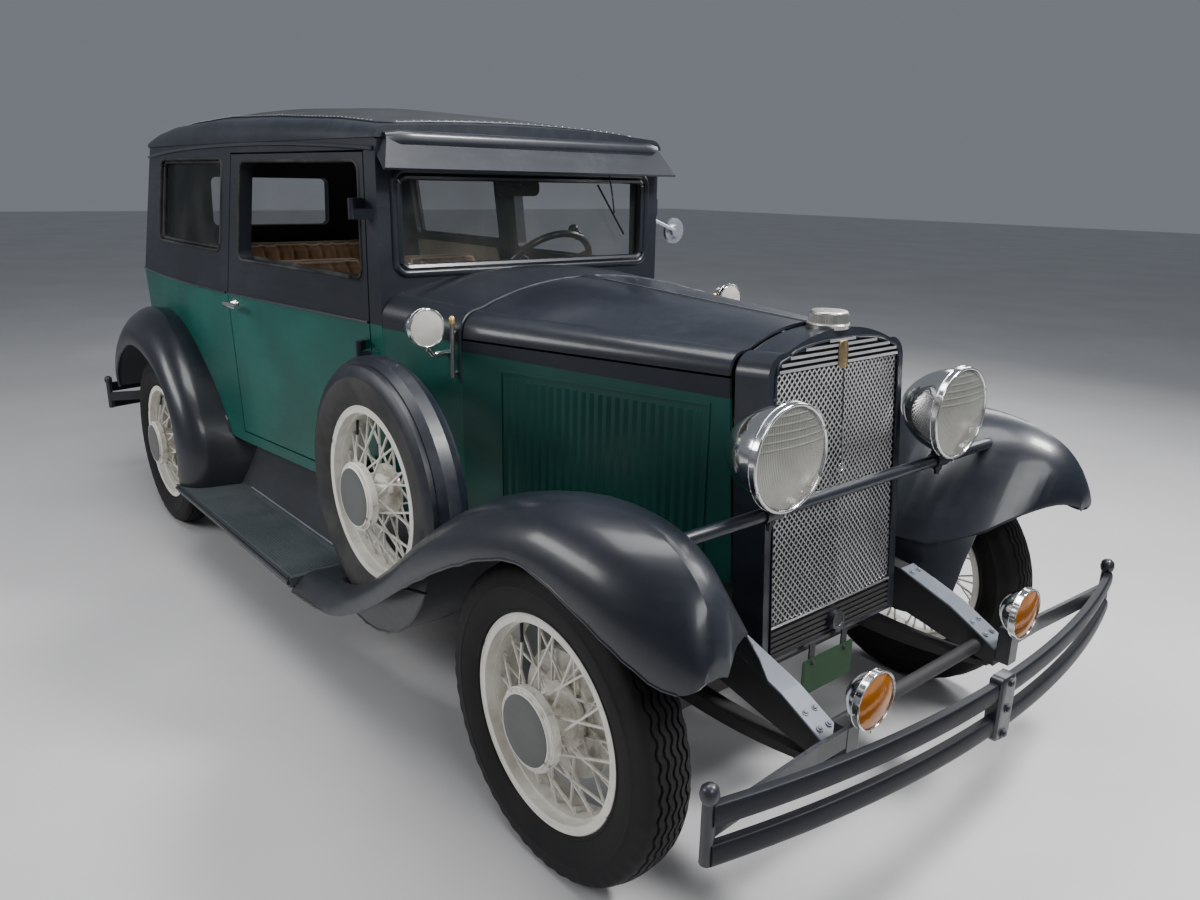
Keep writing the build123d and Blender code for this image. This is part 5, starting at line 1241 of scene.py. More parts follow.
LEVER_BOSS = ((0.0, 0.0), (0.0, 0.021), (0.005, 0.019), (0.006, 0.007), (0.030, 0.007), (0.032, 0.0))
WIPER_BOSS = ((0.0, 0.0), (0.0, 0.011), (0.010, 0.011), (0.014, 0.006), (0.020, 0.006), (0.020, 0.0))
HANDLE_BOSS = (
    (-0.001, 0.0), (-0.001, 0.0215), (0.0055, 0.0205), (0.0072, 0.0130),
    (0.0200, 0.0090), (0.0420, 0.0090), (0.0450, 0.0),
)
HANDLE_LEVER = (
    # along the door, out of it, up, radius
    (-0.016, 0.036, 0.0, 0.0095), (0.0, 0.0365, 0.0, 0.0118),
    (0.05, 0.036, 0.0, 0.0112), (0.104, 0.0335, -0.002, 0.0100),
)


class CAR_OT_frames(bpy.types.Operator):
    """Frames the windows and fits the wiper, the mirrors and the door furniture"""
    bl_idname = "car.frames"
    bl_label = "Window frames and fittings"

    def execute(self, context):
        frame = Mesh()
        outer = [(0.4615, y, z) for y, z in rounded_loop(*SCREEN_OUTER)]
        frame.tube(outer, 0.0105, 10, closed=True, flat=0.55, up=(1, 0, 0))
        inner = [(0.4540, y, z) for y, z in rounded_loop(*SCREEN_INNER)]
        frame.tube(inner, 0.0120, 8, closed=True)
        frame.make("screen_frame", "black", "black_paint")
        seals = Mesh()
        for _, side in SIDES:
            side_seal(seals, SIDE_WINDOW_OUTER, side, 0.0, 0.0055)
            side_seal(seals, SIDE_WINDOW_INNER, side, -0.016, 0.0075)
        back = [back_point(y, z) for y, z in dense(rounded_loop(*BACK_WINDOW))]
        seals.tube(back, 0.0055, 8, closed=True)
        seals.make("window_seals", "gasket", "black_paint")
        for name, side in SIDES:
            door = "door_" + name
            trim = side_seal(Mesh(), DOOR_WINDOW, side, 0.0, 0.0050)
            sill_y = body_side(-0.0653, 1.236, side, -0.012).y
            trim.box((-0.062, sill_y, 1.2385), (0.80, 0.010, 0.010))
            trim.make("window_trim_" + door, "gasket", "black_paint", door)
            furniture(door, side)
            handle(door, side)
        wiper()
        mirror = Mesh().plates(rounded_loop(*MIRROR_BACK), 0.372, 0.381)
        mirror.tube([(0.381, 0, 1.515), (0.405, 0, 1.560)], 0.0045, 8)
        mirror.make("inside_mirror", "moulded", "black_paint")
        face = Mesh().plates(rounded_loop(*MIRROR_FACE), 0.3705, 0.3722)
        face.make("inside_mirror_glass", "bright", "nickel")
        dome((0.4005, 0.700, 1.355), (-1, 0, 0), 0.0445, 0.0012).make("mirror_glass", "bright", "nickel")
        return {"FINISHED"}


def side_seal(mesh, window, side, gap, bar):
    """Round seal along the edge of a window in the flank."""
    loop = dense(rounded_loop(*window))
    return mesh.tube([body_side(x, z, side, gap) for x, z in loop], bar, 8, closed=True)


def body_side(x, z, side, gap):
    """Point on the ruled flank of the body or door, moved out by gap."""
    if z > BELT_Z:
        low, high, part = FLANK_BELT, FLANK_ROOF, (z - BELT_Z) / 0.54
    else:
        low, high, part = FLANK_SILL, FLANK_BELT, (z - 0.52) / 0.58
    front, post, wide, rear = [a + (b - a) * part for a, b in zip(low, high)]
    if x > -0.57:
        y = front + (post - front) * (0.46 - x) / 1.03
    elif x > -1.1:
        y = wide + (post - wide) * ((x + 1.1) / 0.53) ** 2
    else:
        y = wide + (rear - wide) * ((x + 1.1) / 0.62) ** 2
    return Vector((x, side * (y + gap), z))


def back_point(y, z):
    """Point on the back of the body at y and z."""
    place = cast("body_shell", (-2.4, y, z), (1, 0, 0))
    return Vector((place.x if place and place.x < -1.7 else -1.838, y, z))


def inner_wall(x, z):
    """Half width of the inside of the body at x and z."""
    return body_side(x, z, 1, -0.0455).y


def wall_panel(side, x0, x1, z0, z1):
    """Lining board with round corners that follows the inside of the body."""
    radius, thick, rows = 0.03, 0.0075, []
    heights = [z0 + radius * (1 - math.cos(t)) for t in spread(0, math.pi / 2, 6)]
    heights += spread(z0 + 0.06, BELT_Z, 8) + spread(BELT_Z + 0.02, z1 - radius, 3)
    heights += [z1 - radius * (1 - math.sin(t)) for t in spread(0.3, math.pi / 2, 6)]
    for z in heights:
        near = min(z - z0, z1 - z)
        inset = radius - math.sqrt(max(0.0, radius ** 2 - (radius - near) ** 2)) if near < radius else 0.0
        xs = spread(x0 + inset, x1 - inset, 15)
        wall = [Vector((x, side * (inner_wall(x, z) + 0.001), z)) for x in xs]
        face = [Vector((x, side * (inner_wall(x, z) - thick), z)) for x in reversed(xs)]
        rows.append(wall + face)
    return Mesh().rings(rows)


def furniture(door, side):
    """Inner panel of a door, with its lever and winder."""
    wall_panel(side, -0.555, 0.372, 0.585, 1.190).make("inner_panel_" + door, "lining", "seat_cloth", door)
    metal = Mesh()
    for x, z, arm in ((-0.45, 1.06, 0.09), (-0.05, 0.98, 0.10)):
        wall = inner_wall(x, z)
        metal.turned(LEVER_BOSS, (x, side * (wall - 0.006), z), (0, -side, 0), 20)
        ends = [(x, side * (wall - 0.034), z), (x + arm, side * (wall - 0.036), z - 0.02)]
        metal.tube(ends, [0.007, 0.005], 10)
    metal.make("door_levers_" + door, "nickel", "nickel", door)


def handle(door, side):
    """Bright lever handle over the door's own."""
    x, z = -0.508, 1.070
    y = body_side(x, z, 1, 0.0).y
    mesh = Mesh().turned(HANDLE_BOSS, (x, side * y, z), (0, side, 0), 28)
    lever = [(x + along, side * (y + out), z + up) for along, out, up, _ in HANDLE_LEVER]
    mesh.tube(lever, [row[3] for row in HANDLE_LEVER], 14)
    mesh.make("handle_" + door, "bright", "nickel", door)


def wiper():
    """Wiper hung from the header on the driver's side."""
    mesh = Mesh().turned(WIPER_BOSS, (0.460, 0.310, 1.563), (1, 0, 0), 20)
    mesh.tube([(0.476, 0.310, 1.563), (0.474, 0.330, 1.490), (0.470, 0.345, 1.424)], 0.0028, 8)
    mesh.tube([(0.4665, 0.270, 1.518), (0.4665, 0.394, 1.352)], 0.0042, 8, flat=0.7)
    mesh.make("wiper", "moulded", "black_paint")


# Trim

BOLT_HEAD = ((0.3, 1.45), (0.35, 1.0), (0.85, 0.92), (1.1, 0.45), (1.15, 0.0))
CAP_X, CAP_RADIUS, CAP_RIDGE, CAP_STEPS = 1.662, 0.0462, 0.0012, 144
CAP_DISC = ((-0.010, 0.0), (-0.010, 0.0500), (0.0, 0.0520), (0.003, 0.0500), (0.003, 0.0))
BOARD_REAR, BOARD_FRONT, BOARD_EDGE_Y, BOARD_TOP = -0.812, 0.346, 0.8605, 0.318
BUMPER_TIP, BUMPER_BOW, BUMPER_HALF = 2.093, 2.198, 0.803
BAR_HALF, BAR_BACK, BAR_CROWN = 0.0224, 0.0074, 0.0068
CLAMP_PLATE = (
    # x, half width, lowest z, highest z
    (2.186, 0.032, 0.366, 0.520), (2.212, 0.032, 0.366, 0.520), (2.2165, 0.027, 0.371, 0.515),
)
BALL_TOP = (
    (-0.006, 0.0), (-0.006, 0.0135), (0.0, 0.0165), (0.010, 0.0185), (0.022, 0.0160), (0.029, 0.0085),
    (0.031, 0.0),
)
HUB_FACE = 0.0982
HUB_DISC = (
    # distance past the hub's face, radius
    (-0.0030, 0.0), (-0.0030, 0.0822), (0.0008, 0.0818), (0.0018, 0.0790), (0.0030, 0.0560), (0.0037, 0.0300),
    (0.0040, 0.0),
)
SPOKES, VALVE_TURN = 40, 2.2
NOSE_X, NOSE_HALF, COWL_X, COWL_HALF = 1.720, 0.238, 0.825, 0.505


class CAR_OT_trim(bpy.types.Operator):
    """Adds the number plate, board edges, caps, bolts, latches and hub details"""
    bl_idname = "car.trim"
    bl_label = "Trim"

    def execute(self, context):
        plate = Mesh().plates(rounded_loop(-0.142, 0.062, 0.312, 0.410, 0.008), 1.7780, 1.7800)
        plate.plates(rounded_loop(-0.136, 0.056, 0.318, 0.404, 0.006), 1.7800, 1.7806)
        plate.make("number_plate", "plate", "black_paint", smooth=False)
        brackets = Mesh()
        for y in (-0.105, 0.025):
            brackets.box((1.7755, y, 0.388), (0.004, 0.022, 0.120))
            bolt(brackets, (1.7806, y, 0.396), (1, 0, 0), 0.0055)
        brackets.make("plate_brackets", "chassis", "chassis_paint", smooth=False)
        cap_detail()
        board_detail()
        bumper_bars()
        bumper_detail()
        hub_detail()
        hood_detail()
        return {"FINISHED"}


def bolt(mesh, place, axis, radius):
    """Domed bolt head on a washer."""
    head = [(radius * along, radius * out) for along, out in BOLT_HEAD]
    mesh.turned([(-0.001, 0.0), (-0.001, radius * 1.5)] + head, place, axis, 14)


def cap_detail():
    """Knurled edge and step of the filler cap."""
    edge = []
    for k in range(CAP_STEPS):
        turn = 2 * math.pi * k / CAP_STEPS
        radius = CAP_RADIUS + (0.0 if k % 3 else CAP_RIDGE)
        edge.append((CAP_X + radius * math.cos(turn), radius * math.sin(turn)))
    mesh = Mesh().rings([[Vector((x, y, z)) for x, y in edge] for z in (1.2175, 1.2395)])
    mesh.turned(CAP_DISC, (CAP_X, 0, 1.2145), (0, 0, 1), 48)
    mesh.make("cap_rim", "cap", "nickel", angle=20.0)


def board_detail():
    """Edge mouldings, seam strips and ribs of the running boards."""
    mesh = Mesh()
    for up, bar, sides in ((-0.014, 0.0085, 12), (0.0005, 0.0030, 8)):
        mesh.tube([(x, BOARD_EDGE_Y, BOARD_TOP + up) for x in (BOARD_REAR, BOARD_FRONT)], bar, sides)
    mesh.both_sides().make("board_edges", "black", "board_rubber")
    line = []
    for x in spread(-0.575, 0.330, 24):
        for y in spread(0.720, 0.540, 91):
            place = top_hit(["running_boards"], x, y)
            if place and place.z > 0.3225:
                line.append(place + Vector((0, 0.0015, 0.0010)))
                break
    Mesh().tube(line, 0.0030, 8).both_sides().make("board_strips", "strap", "board_rubber")
    ribs = Mesh()
    for y in spread(0.668, 0.842, 18):
        ribs.box((-0.115, y, BOARD_TOP + 0.0009), (0.880, 0.0034, 0.0022))
    ribs.both_sides().make("board_ribs", "board", "board_rubber", smooth=False)


def bumper_arc(rear):
    """Points of a bumper bar's middle line in plan."""
    drop = BUMPER_BOW - BUMPER_TIP
    radius = (BUMPER_HALF ** 2 + drop ** 2) / (2 * drop)
    reach = math.asin(BUMPER_HALF / radius)
    points = []
    for turn in spread(-reach, reach, 61):
        x = BUMPER_BOW - radius * (1 - math.cos(turn))
        points.append(Vector((-x if rear else x, radius * math.sin(turn), 0)))
    return points


def bumper_bars():
    """Crowned faces of the four bumper bars."""
    mesh = Mesh()
    section = [(-BAR_BACK, -BAR_HALF), (BAR_BACK, -BAR_HALF)]
    for k in range(1, 12):
        z = BAR_HALF * math.sin(math.pi * (k / 12 - 0.5))
        section.append((BAR_BACK + BAR_CROWN * math.sqrt(max(0.0, 1 - (z / BAR_HALF) ** 2)), z))
    section += [(BAR_BACK, BAR_HALF), (-BAR_BACK, BAR_HALF)]
    for rear in (False, True):
        line = bumper_arc(rear)
        for z in (0.484, 0.402):
            rows = []
            for i, point in enumerate(line):
                run = (line[min(i + 1, len(line) - 1)] - line[max(i - 1, 0)]).normalized()
                out = Vector((run.y, -run.x, 0)) * (-1 if rear else 1)
                rows.append([point + out * a + Vector((0, 0, z + b)) for a, b in section])
            mesh.rings(rows)
    mesh.make("bumper_faces", "shaded_gloss", "black_paint", angle=50.0)


def bumper_detail():
    """Clamp plates, ball tops and bolts of the bumpers, and the bolts of the horn covers."""
    mesh = Mesh()
    for end in (1, -1):
        rows = []
        for x, half, low, high in CLAMP_PLATE:
            loop = rounded_loop(-half, half, low, high, 0.014)
            rows.append([Vector((end * (x + 0.004 * (1 - abs(y) / 0.032)), y, z)) for y, z in loop])
        mesh.rings(rows)
        for z in (0.505, 0.443, 0.381):
            bolt(mesh, (end * 2.217, 0.0, z), (end, 0, 0), 0.008)
    for y in (BUMPER_HALF, -BUMPER_HALF):
        for x in (2.088, -2.088):
            mesh.turned(BALL_TOP, (x, y, 0.512), (0, 0, 1), 24)
    mesh.make("bumper_bolts", "black", "black_paint")
    covers = Mesh()
    for x, z in ((1.995, 0.424), (1.955, 0.443), (1.77, 0.517)):
        for y in (0.330, 0.362):
            bolt(covers, (x, y, z), (0.4, 0, 0.9), 0.0055)
    covers.both_sides().make("cover_bolts", "strap", "strap_metal")


def hub_detail():
    """Steps and rings of the hub caps, spoke nipples and valve stems."""
    places = [(centre, place + "_wheel") for place, centre in WHEEL_CENTRES.items()]
    places += [((SPARE[0], side * SPARE[1], SPARE[2]), "root") for _, side in SIDES]
    for index, (centre, body) in enumerate(places):
        centre = Vector(centre)
        axis = Vector((0, math.copysign(1.0, centre.y), 0))
        cap = Mesh().turned([(HUB_FACE + out, radius) for out, radius in HUB_DISC], centre, axis, 56)
        cap.make("hub_cap_%d" % index, "cap_disc", "cream_paint", body)
        cream = Mesh()
        cream.hoop(centre + axis * (HUB_FACE - 0.0016), axis, 0.0842, 0.0026, 56)
        cream.hoop(centre + axis * (HUB_FACE - 0.009), axis, 0.0955, 0.0026, 56)
        for k in range(SPOKES):
            turn = 2 * math.pi * k / SPOKES
            out = Vector((math.cos(turn), 0, math.sin(turn)))
            base = centre + axis * (-0.006 if k % 2 else 0.006)
            cream.tube([base + out * 0.2235, base + out * 0.2085], [0.0036, 0.0042], 6)
        cream.hoop(centre + axis * 0.0475, axis, 0.2490, 0.0042, 96)
        cream.make("nipples_%d" % index, "cream", "cream_paint", body)
        out = Vector((math.cos(VALVE_TURN), 0, math.sin(VALVE_TURN)))
        base = centre + axis * 0.012
        valve = Mesh().tube([base + out * 0.224, base + out * 0.192 + axis * 0.012], 0.0042, 8)
        valve.tube([base + out * 0.193 + axis * 0.0115, base + out * 0.182 + axis * 0.0155], 0.0052, 8)
        valve.make("valve_%d" % index, "moulded", "cream_paint", body)


def hood_detail():
    """Latches and hinge rod of the bonnet, and the bead around the cowl."""
    mesh = Mesh()
    for x in (1.49, 0.95):
        wall = nose_side(x) + 0.0005
        mesh.box((x, wall + 0.004, 0.632), (0.030, 0.008, 0.050))
        mesh.tube([(x, wall + 0.013, 0.650), (x, wall + 0.016, 0.612)], [0.007, 0.005], 10)
    mesh.both_sides().make("bonnet_latches", "black", "black_paint")
    line = [top_hit(["cowl", "bonnet_sides"], x, 0.0, -0.0040) for x in spread(0.835, 1.640, 24)]
    Mesh().tube([p for p in line if p], 0.0042, 10).make("bonnet_rod", "dull", "black_paint")
    line = []
    for turn in spread(math.radians(-2), math.radians(182), 80):
        ahead = Vector((0.0, math.cos(turn), math.sin(turn)))
        start = Vector((0.0, 0.0, 1.000)) + ahead * 1.2
        behind = cast("cowl", start + Vector((0.620, 0, 0)), -ahead)
        for x in spread(0.835, 0.640, 79):
            place = cast("cowl", start + Vector((x, 0, 0)), -ahead)
            if place and behind and (place - behind).dot(ahead) > -0.030:
                line.append(place + ahead * 0.0004 - Vector((0.0040, 0, 0)))
                break
    Mesh().tube(line, 0.0038, 8).make("cowl_bead", "bead", "black_paint")


def nose_side(x):
    """Half width of the bonnet's side at x."""
    return NOSE_HALF + (COWL_HALF - NOSE_HALF) * (NOSE_X - x) / (NOSE_X - COWL_X)


# Seats

CUSHIONS = (
    # name, lowest corner, highest corner, crowned side, pleats across Y
    ("front_seat_left", (-0.545, 0.080, 0.585), (-0.065, 0.470, 0.842), "top", 5),
    ("front_seat_right", (-0.545, -0.470, 0.585), (-0.065, -0.080, 0.842), "top", 5),
    ("front_back_left", (-0.692, 0.080, 0.640), (-0.570, 0.470, 1.228), "front", 5),
    ("front_back_right", (-0.692, -0.470, 0.640), (-0.570, -0.080, 1.228), "front", 5),
    ("rear_seat", (-1.545, -0.528, 0.665), (-1.020, 0.528, 0.870), "top", 14),
    ("rear_back", (-1.728, -0.468, 0.690), (-1.572, 0.468, 1.228), "front", 12),
)


class CAR_OT_cushions(bpy.types.Operator):
    """Swells the seat cushions, sews their pleats and pipes their edges"""
    bl_idname = "car.cushions"
    bl_label = "Cushions"

    def execute(self, context):
        pads = []
        for name, low, high, crown, pleats in CUSHIONS:
            low, high = Vector(low), Vector(high)
            pads.append((swollen(context, name, low, high), low, high, crown, pleats))
        for pad, low, high, crown, pleats in pads:
            sew_pleats(pad, low, high, crown, pleats)
            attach(pad, "root")
            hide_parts("seats")
            pipe_edges(pad, low, high, crown)
        stands = Mesh()
        for side in (1, -1):
            for x in (-0.66, -0.40, -0.15):
                for y in (0.13, 0.42):
                    stands.box((x, side * y, 0.5900), (0.05, 0.022, 0.030))
        stands.make("seat_runners", "chassis", "chassis_paint", smooth=False)
        return {"FINISHED"}


def swollen(context, name, low, high):
    """Closed cushion, remeshed, blown up as cloth and smoothed."""
    props = context.scene.car_sizes
    mesh = bpy.data.meshes.new(name)
    form = bmesh.new()
    bmesh.ops.create_cube(form, size=1.0)
    for vert in form.verts:
        vert.co = (low + high) / 2 + Vector(a * b for a, b in zip(vert.co, high - low))
    bmesh.ops.bevel(form, geom=form.edges[:], offset=0.030, segments=3, affect="EDGES")
    form.to_mesh(mesh)
    form.free()
    pad = bpy.data.objects.new(name, mesh)
    context.scene.collection.objects.link(pad)
    mesh.materials.append(material_of("velour"))
    remesh = pad.modifiers.new("cells", "REMESH")
    remesh.mode = "VOXEL"
    remesh.voxel_size = props.cushion_voxel
    apply_modifiers(context, pad)
    rest = [v.co.copy() for v in pad.data.vertices]
    held = pad.vertex_groups.new(name="held")
    held.add([i for i, p in enumerate(rest) if p.z < low.z + 0.02], 1.0, "REPLACE")
    modifier = pad.modifiers.new("swell", "CLOTH")
    cloth = modifier.settings
    cloth.quality = 5
    cloth.mass = 0.3
    cloth.tension_stiffness = 18.0
    cloth.compression_stiffness = 18.0
    cloth.bending_stiffness = 1.2
    cloth.use_pressure = True
    cloth.uniform_pressure_force = 4.0
    cloth.effector_weights.gravity = 0.0
    cloth.vertex_group_mass = "held"
    for frame_number in range(1, 21):
        context.scene.frame_set(frame_number)
    posed = pad.evaluated_get(context.evaluated_depsgraph_get())
    moved = [v.co.copy() for v in posed.data.vertices]
    pad.modifiers.clear()
    pad.vertex_groups.clear()
    for vert, old, new in zip(pad.data.vertices, rest, moved):
        step = new - old
        vert.co = old + step * min(1.0, props.cushion_cap / max(step.length, 1e-6))
    context.scene.frame_set(1)
    smooth = pad.modifiers.new("fine", "SUBSURF")
    smooth.levels = 1
    apply_modifiers(context, pad)
    return pad


def apply_modifiers(context, obj):
    """Makes what the modifiers give the object's own mesh."""
    context.view_layer.update()
    posed = obj.evaluated_get(context.evaluated_depsgraph_get())
    mesh = bpy.data.meshes.new_from_object(posed)
    obj.modifiers.clear()
    old = obj.data
    obj.data = mesh
    bpy.data.meshes.remove(old)
    if not mesh.materials:
        mesh.materials.append(material_of("velour"))
    mesh.shade_smooth()


def sew_pleats(pad, low, high, crown, pleats):
    """Presses the sewn channels into the crowned side."""
    wide = (high.y - low.y) - 0.06
    for vert in pad.data.vertices:
        co = vert.co
        along = (co.y - low.y - 0.03) / wide * pleats
        if not 0.0 < along < pleats:
            continue
        groove = math.exp(-((along - round(along)) * wide / pleats / 0.0085) ** 2)
        if crown == "top" and co.z > high.z - 0.035 and low.x + 0.03 < co.x < high.x - 0.01:
            co.z -= 0.0085 * groove - 0.002
        if crown == "front" and co.x > high.x - 0.035 and low.z + 0.03 < co.z < high.z - 0.03:
            co.x -= 0.0085 * groove - 0.002


def pipe_edges(pad, low, high, crown):
    """Piping that follows the cushion's swollen edge."""
    tree = tree_of(pad.data)
    inset = 0.012
    if crown == "top":
        loop = dense(rounded_loop(low.x + inset, high.x - inset, low.y + inset, high.y - inset, 0.035), 0.02)
        targets = [Vector((x, y, high.z - 0.004)) for x, y in loop]
    else:
        loop = dense(rounded_loop(low.y + inset, high.y - inset, low.z + inset, high.z - inset, 0.04), 0.02)
        targets = [Vector((high.x - 0.004, y, z)) for y, z in loop]
    mesh = Mesh()
    mesh.tube([tree.find_nearest(point)[0] for point in targets], 0.0048, 8, closed=True)
    mesh.make(pad.name + "_piping", "piping", "seat_cloth")


# Cabin

DIAL_Z = 1.108
GEAR_LEVER = ((0.285, 0.0, 0.580), (0.270, 0.0, 0.720), (0.205, 0.012, 0.850), (0.165, 0.020, 0.930))
GEARBOX_COVER = (
    # x, height of the crown
    (0.470, 0.004), (0.484, 0.014), (0.515, 0.044), (0.560, 0.062), (0.640, 0.080), (0.7275, 0.088),
)
WHEEL_KNOB = (
    (0.0, 0.0), (0.0, 0.0170), (0.010, 0.0175), (0.016, 0.0090), (0.022, 0.0080), (0.026, 0.0150),
    (0.034, 0.0200), (0.044, 0.0195), (0.052, 0.0130), (0.055, 0.0),
)


def cover_ring(x, crown):
    """Section of the pressed cover that closes the floor over the gearbox."""
    def arch(wide, high):
        turns = [math.pi * step / 24 for step in range(25)]
        return [Vector((x, math.copysign(wide * abs(math.cos(turn)) ** 0.5, math.cos(turn)),
                        0.5756 + high * abs(math.sin(turn)) ** 0.5)) for turn in turns]
    return arch(0.142, crown) + arch(0.138, crown - 0.003)[::-1]


class CAR_OT_cabin(bpy.types.Operator):
    """Fits the dashboard, levers, pedals, gearbox cover, linings and the knob on the steering wheel"""
    bl_idname = "car.cabin"
    bl_label = "Cabin"

    def execute(self, context):
        board = Mesh()
        loop = rounded_loop(-0.470, 0.470, 1.030, 1.185, 0.02)
        board.plates(loop, 0.450, 0.4595)
        board.make("dash_board", "wood", "floor_wood", angle=30.0)
        panel = Mesh()
        loop = rounded_loop(-0.165, 0.165, 1.052, 1.164, 0.05)
        panel.plates(loop, 0.4455, 0.4500)
        panel.make("dial_panel", "dull", "nickel", angle=30.0)
        faces, rings = Mesh(), Mesh()
        for y, radius in ((-0.115, 0.026), (0.0, 0.040), (0.115, 0.026)):
            disc = [(0.0, 0.0), (0.0, radius), (0.0012, radius), (0.0014, 0.0)]
            faces.turned(disc, (0.4455, y, DIAL_Z), (-1, 0, 0), 32)
            rings.hoop((0.4445, y, DIAL_Z), (-1, 0, 0), radius + 0.001, 0.0022, 40)
            hand = [(0.4438, y, DIAL_Z), (0.4438, y + radius * 0.5, DIAL_Z + radius * 0.55)]
            rings.tube(hand, [0.0012, 0.0005], 6)
        for y in (-0.26, -0.33, 0.24, 0.42):
            rings.turned([(0.0, 0.0), (0.0, 0.007), (0.014, 0.007), (0.016, 0.011), (0.022, 0.010), (0.023, 0.0)],
                         (0.450, y, 1.09), (-1, 0, 0), 20)
        faces.make("dial_faces", "dial", "nickel")
        rings.make("dial_rims", "nickel", "nickel")
        levers = Mesh()
        levers.tube(GEAR_LEVER, 0.0085, 12)
        levers.turned([(0.0, 0.0), (0.004, 0.014), (0.016, 0.020), (0.030, 0.014), (0.036, 0.0)],
                      (0.167, 0.020, 0.922), (-0.4, 0.08, 0.9), 24)
        levers.tube([(0.320, -0.065, 0.580), (0.220, -0.065, 0.880)], [0.011, 0.009], 12)
        for y in (0.235, 0.375):
            levers.tube([(0.455, y, 0.790), (0.430, y, 0.655)], 0.008, 10)
            levers.box((0.424, y, 0.650), (0.014, 0.06, 0.066))
        levers.box((0.428, 0.300, 0.628), (0.012, 0.036, 0.120))
        levers.make("levers_and_pedals", "moulded", "chassis_paint")
        cover = Mesh()
        cover.rings([cover_ring(x, crown) for x, crown in GEARBOX_COVER])
        cover.make("gearbox_cover", "moulded", "chassis_paint", angle=35.0)
        xs = spread(0.400, -1.700, 22)
        ys = spread(-0.520, 0.520, 15)
        rows = [[top_hit(["roof"], x, y, -0.0300) for y in ys] for x in xs]
        verts, faces = grid(rows)
        lining = add_mesh("headlining", verts, faces, "lining", "root", "seat_cloth")
        for name, side in SIDES:
            panel = wall_panel(side, -1.42, -0.66, 0.860, 1.225)
            panel.make("rear_side_panel_" + name, "lining", "seat_cloth")
        knob = Mesh()
        turn = math.radians(68)
        rim = Vector((0.118, 0.305, 1.191)) + 0.192 * (Vector((0, 1, 0)) * math.cos(turn)
                                                       + Vector((0.6157, 0, 0.7880)) * math.sin(turn))
        knob.turned(WHEEL_KNOB, rim, (-0.788, 0, 0.6157), 24)
        knob.make("steering_knob", "moulded", "chassis_paint", "steering_wheel")
        return {"FINISHED"}


# Stage

class CAR_OT_stage(bpy.types.Operator):
    """Sets the floor, the studio light and the camera"""
    bl_idname = "car.stage"
    bl_label = "Stage"

    def execute(self, context):
        mesh = bpy.data.meshes.new("floor")
        mesh.from_pydata([(-40, -40, 0), (40, -40, 0), (40, 40, 0), (-40, 40, 0)], [], [(0, 1, 2, 3)])
        floor = bpy.data.objects.new("studio_floor", mesh)
        context.scene.collection.objects.link(floor)
        floor.data.materials.append(stage_material())
        world = bpy.data.worlds.new("studio")
        world.use_nodes = True
        world.node_tree.nodes["Background"].inputs["Color"].default_value = (0.74, 0.80, 0.90, 1)
        world.node_tree.nodes["Background"].inputs["Strength"].default_value = 0.24
        context.scene.world = world
        for name, place, size, power in (
            ("light_over", (0.9, -0.5, 4.6), (3.6, 1.8), 170.0),
            ("light_front", (4.8, -1.4, 3.4), (1.8, 1.2), 60.0),
            ("light_spot", (3.0, 1.4, 3.7), (0.8, 0.8), 210.0),
            ("light_side", (-1.6, -4.6, 2.9), (3.2, 1.2), 120.0),
            ("light_far", (0.4, 4.6, 3.4), (4.0, 1.4), 120.0),
        ):
            add_light(context, name, place, size, power)
        add_camera(context)
        return {"FINISHED"}


def stage_material():
    """Pale grey floor with a slight unevenness."""
    material, tree, shader, place = new_material("studio_floor")
    tone = smooth_range(tree, noise(tree, place, 0.8, 5.0), 0.3, 0.7, 0.52, 0.58)
    colour = tree_node(tree, "ShaderNodeCombineColor", {0: tone, 1: tone, 2: tone}).outputs[0]
    tree.links.new(colour, shader.inputs["Base Color"])
    shader.inputs["Roughness"].default_value = 0.5
    return material


def add_light(context, name, place, size, power):
    """Soft rectangular light aimed at the middle of the car."""
    data = bpy.data.lights.new(name, "AREA")
    data.shape = "RECTANGLE"
    data.size, data.size_y = size
    data.energy = power
    light = bpy.data.objects.new(name, data)
    light.location = place
    light.rotation_euler = (Vector((0.2, 0, 0.7)) - Vector(place)).to_track_quat("-Z", "Y").to_euler()
    context.scene.collection.objects.link(light)


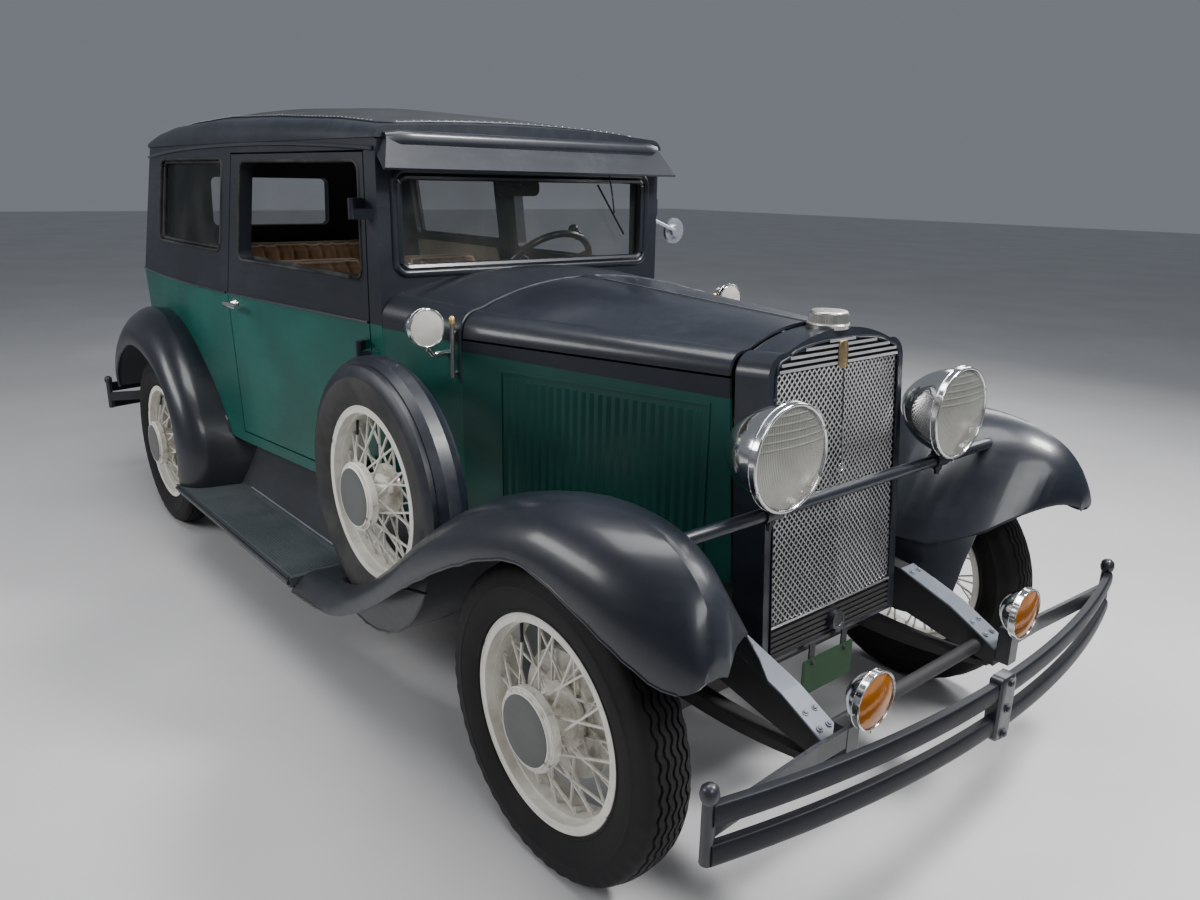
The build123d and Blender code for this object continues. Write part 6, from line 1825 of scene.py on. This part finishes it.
def add_camera(context):
    """Camera at the viewing angle of the reference."""
    yaw, pitch, roll = math.radians(139.85), math.radians(-16.278), math.radians(1.093)
    ahead = Vector((math.cos(pitch) * math.cos(yaw), math.cos(pitch) * math.sin(yaw), math.sin(pitch)))
    right = ahead.cross(Vector((0, 0, 1))).normalized()
    up = right.cross(ahead)
    across = right * math.cos(roll) + up * math.sin(roll)
    over = up * math.cos(roll) - right * math.sin(roll)
    data = bpy.data.cameras.new("camera")
    data.lens = 27.54
    data.sensor_width = 36.0
    camera = bpy.data.objects.new("camera", data)
    matrix = Matrix((across, over, -ahead)).transposed().to_4x4()
    matrix.translation = Vector((2.991, -1.8266, 1.5285))
    camera.matrix_world = matrix
    context.scene.collection.objects.link(camera)
    context.scene.camera = camera


class CAR_PT_panel(bpy.types.Panel):
    """Lists the pieces of the car and their values"""
    bl_idname = "CAR_PT_panel"
    bl_label = "Vintage car"
    bl_space_type = "VIEW_3D"
    bl_region_type = "UI"
    bl_category = "Vintage car"

    def draw(self, context):
        for group, keys in ((context.scene.car_colours, CarColours), (context.scene.car_sizes, CarSizes)):
            for key in keys.__annotations__:
                self.layout.prop(group, key)
        for operator in OPERATORS:
            self.layout.operator(operator.bl_idname)


OPERATORS = (
    CAR_OT_finishes,
    CAR_OT_tyres,
    CAR_OT_skins,
    CAR_OT_guard,
    CAR_OT_lamps,
    CAR_OT_covering,
    CAR_OT_frames,
    CAR_OT_trim,
    CAR_OT_cushions,
    CAR_OT_cabin,
    CAR_OT_stage,
)
CLASSES = (CarColours, CarSizes) + OPERATORS + (CAR_PT_panel,)


def register():
    for entry in CLASSES:
        bpy.utils.register_class(entry)
    bpy.types.Scene.car_colours = bpy.props.PointerProperty(type=CarColours)
    bpy.types.Scene.car_sizes = bpy.props.PointerProperty(type=CarSizes)


def unregister():
    del bpy.types.Scene.car_sizes
    del bpy.types.Scene.car_colours
    for entry in reversed(CLASSES):
        bpy.utils.unregister_class(entry)


def main():
    """Builds every piece in order."""
    register()
    for operator in OPERATORS:
        group, name = operator.bl_idname.split(".")
        getattr(getattr(bpy.ops, group), name)()
    bpy.context.view_layer.update()


if __name__ == "__main__":
    main()
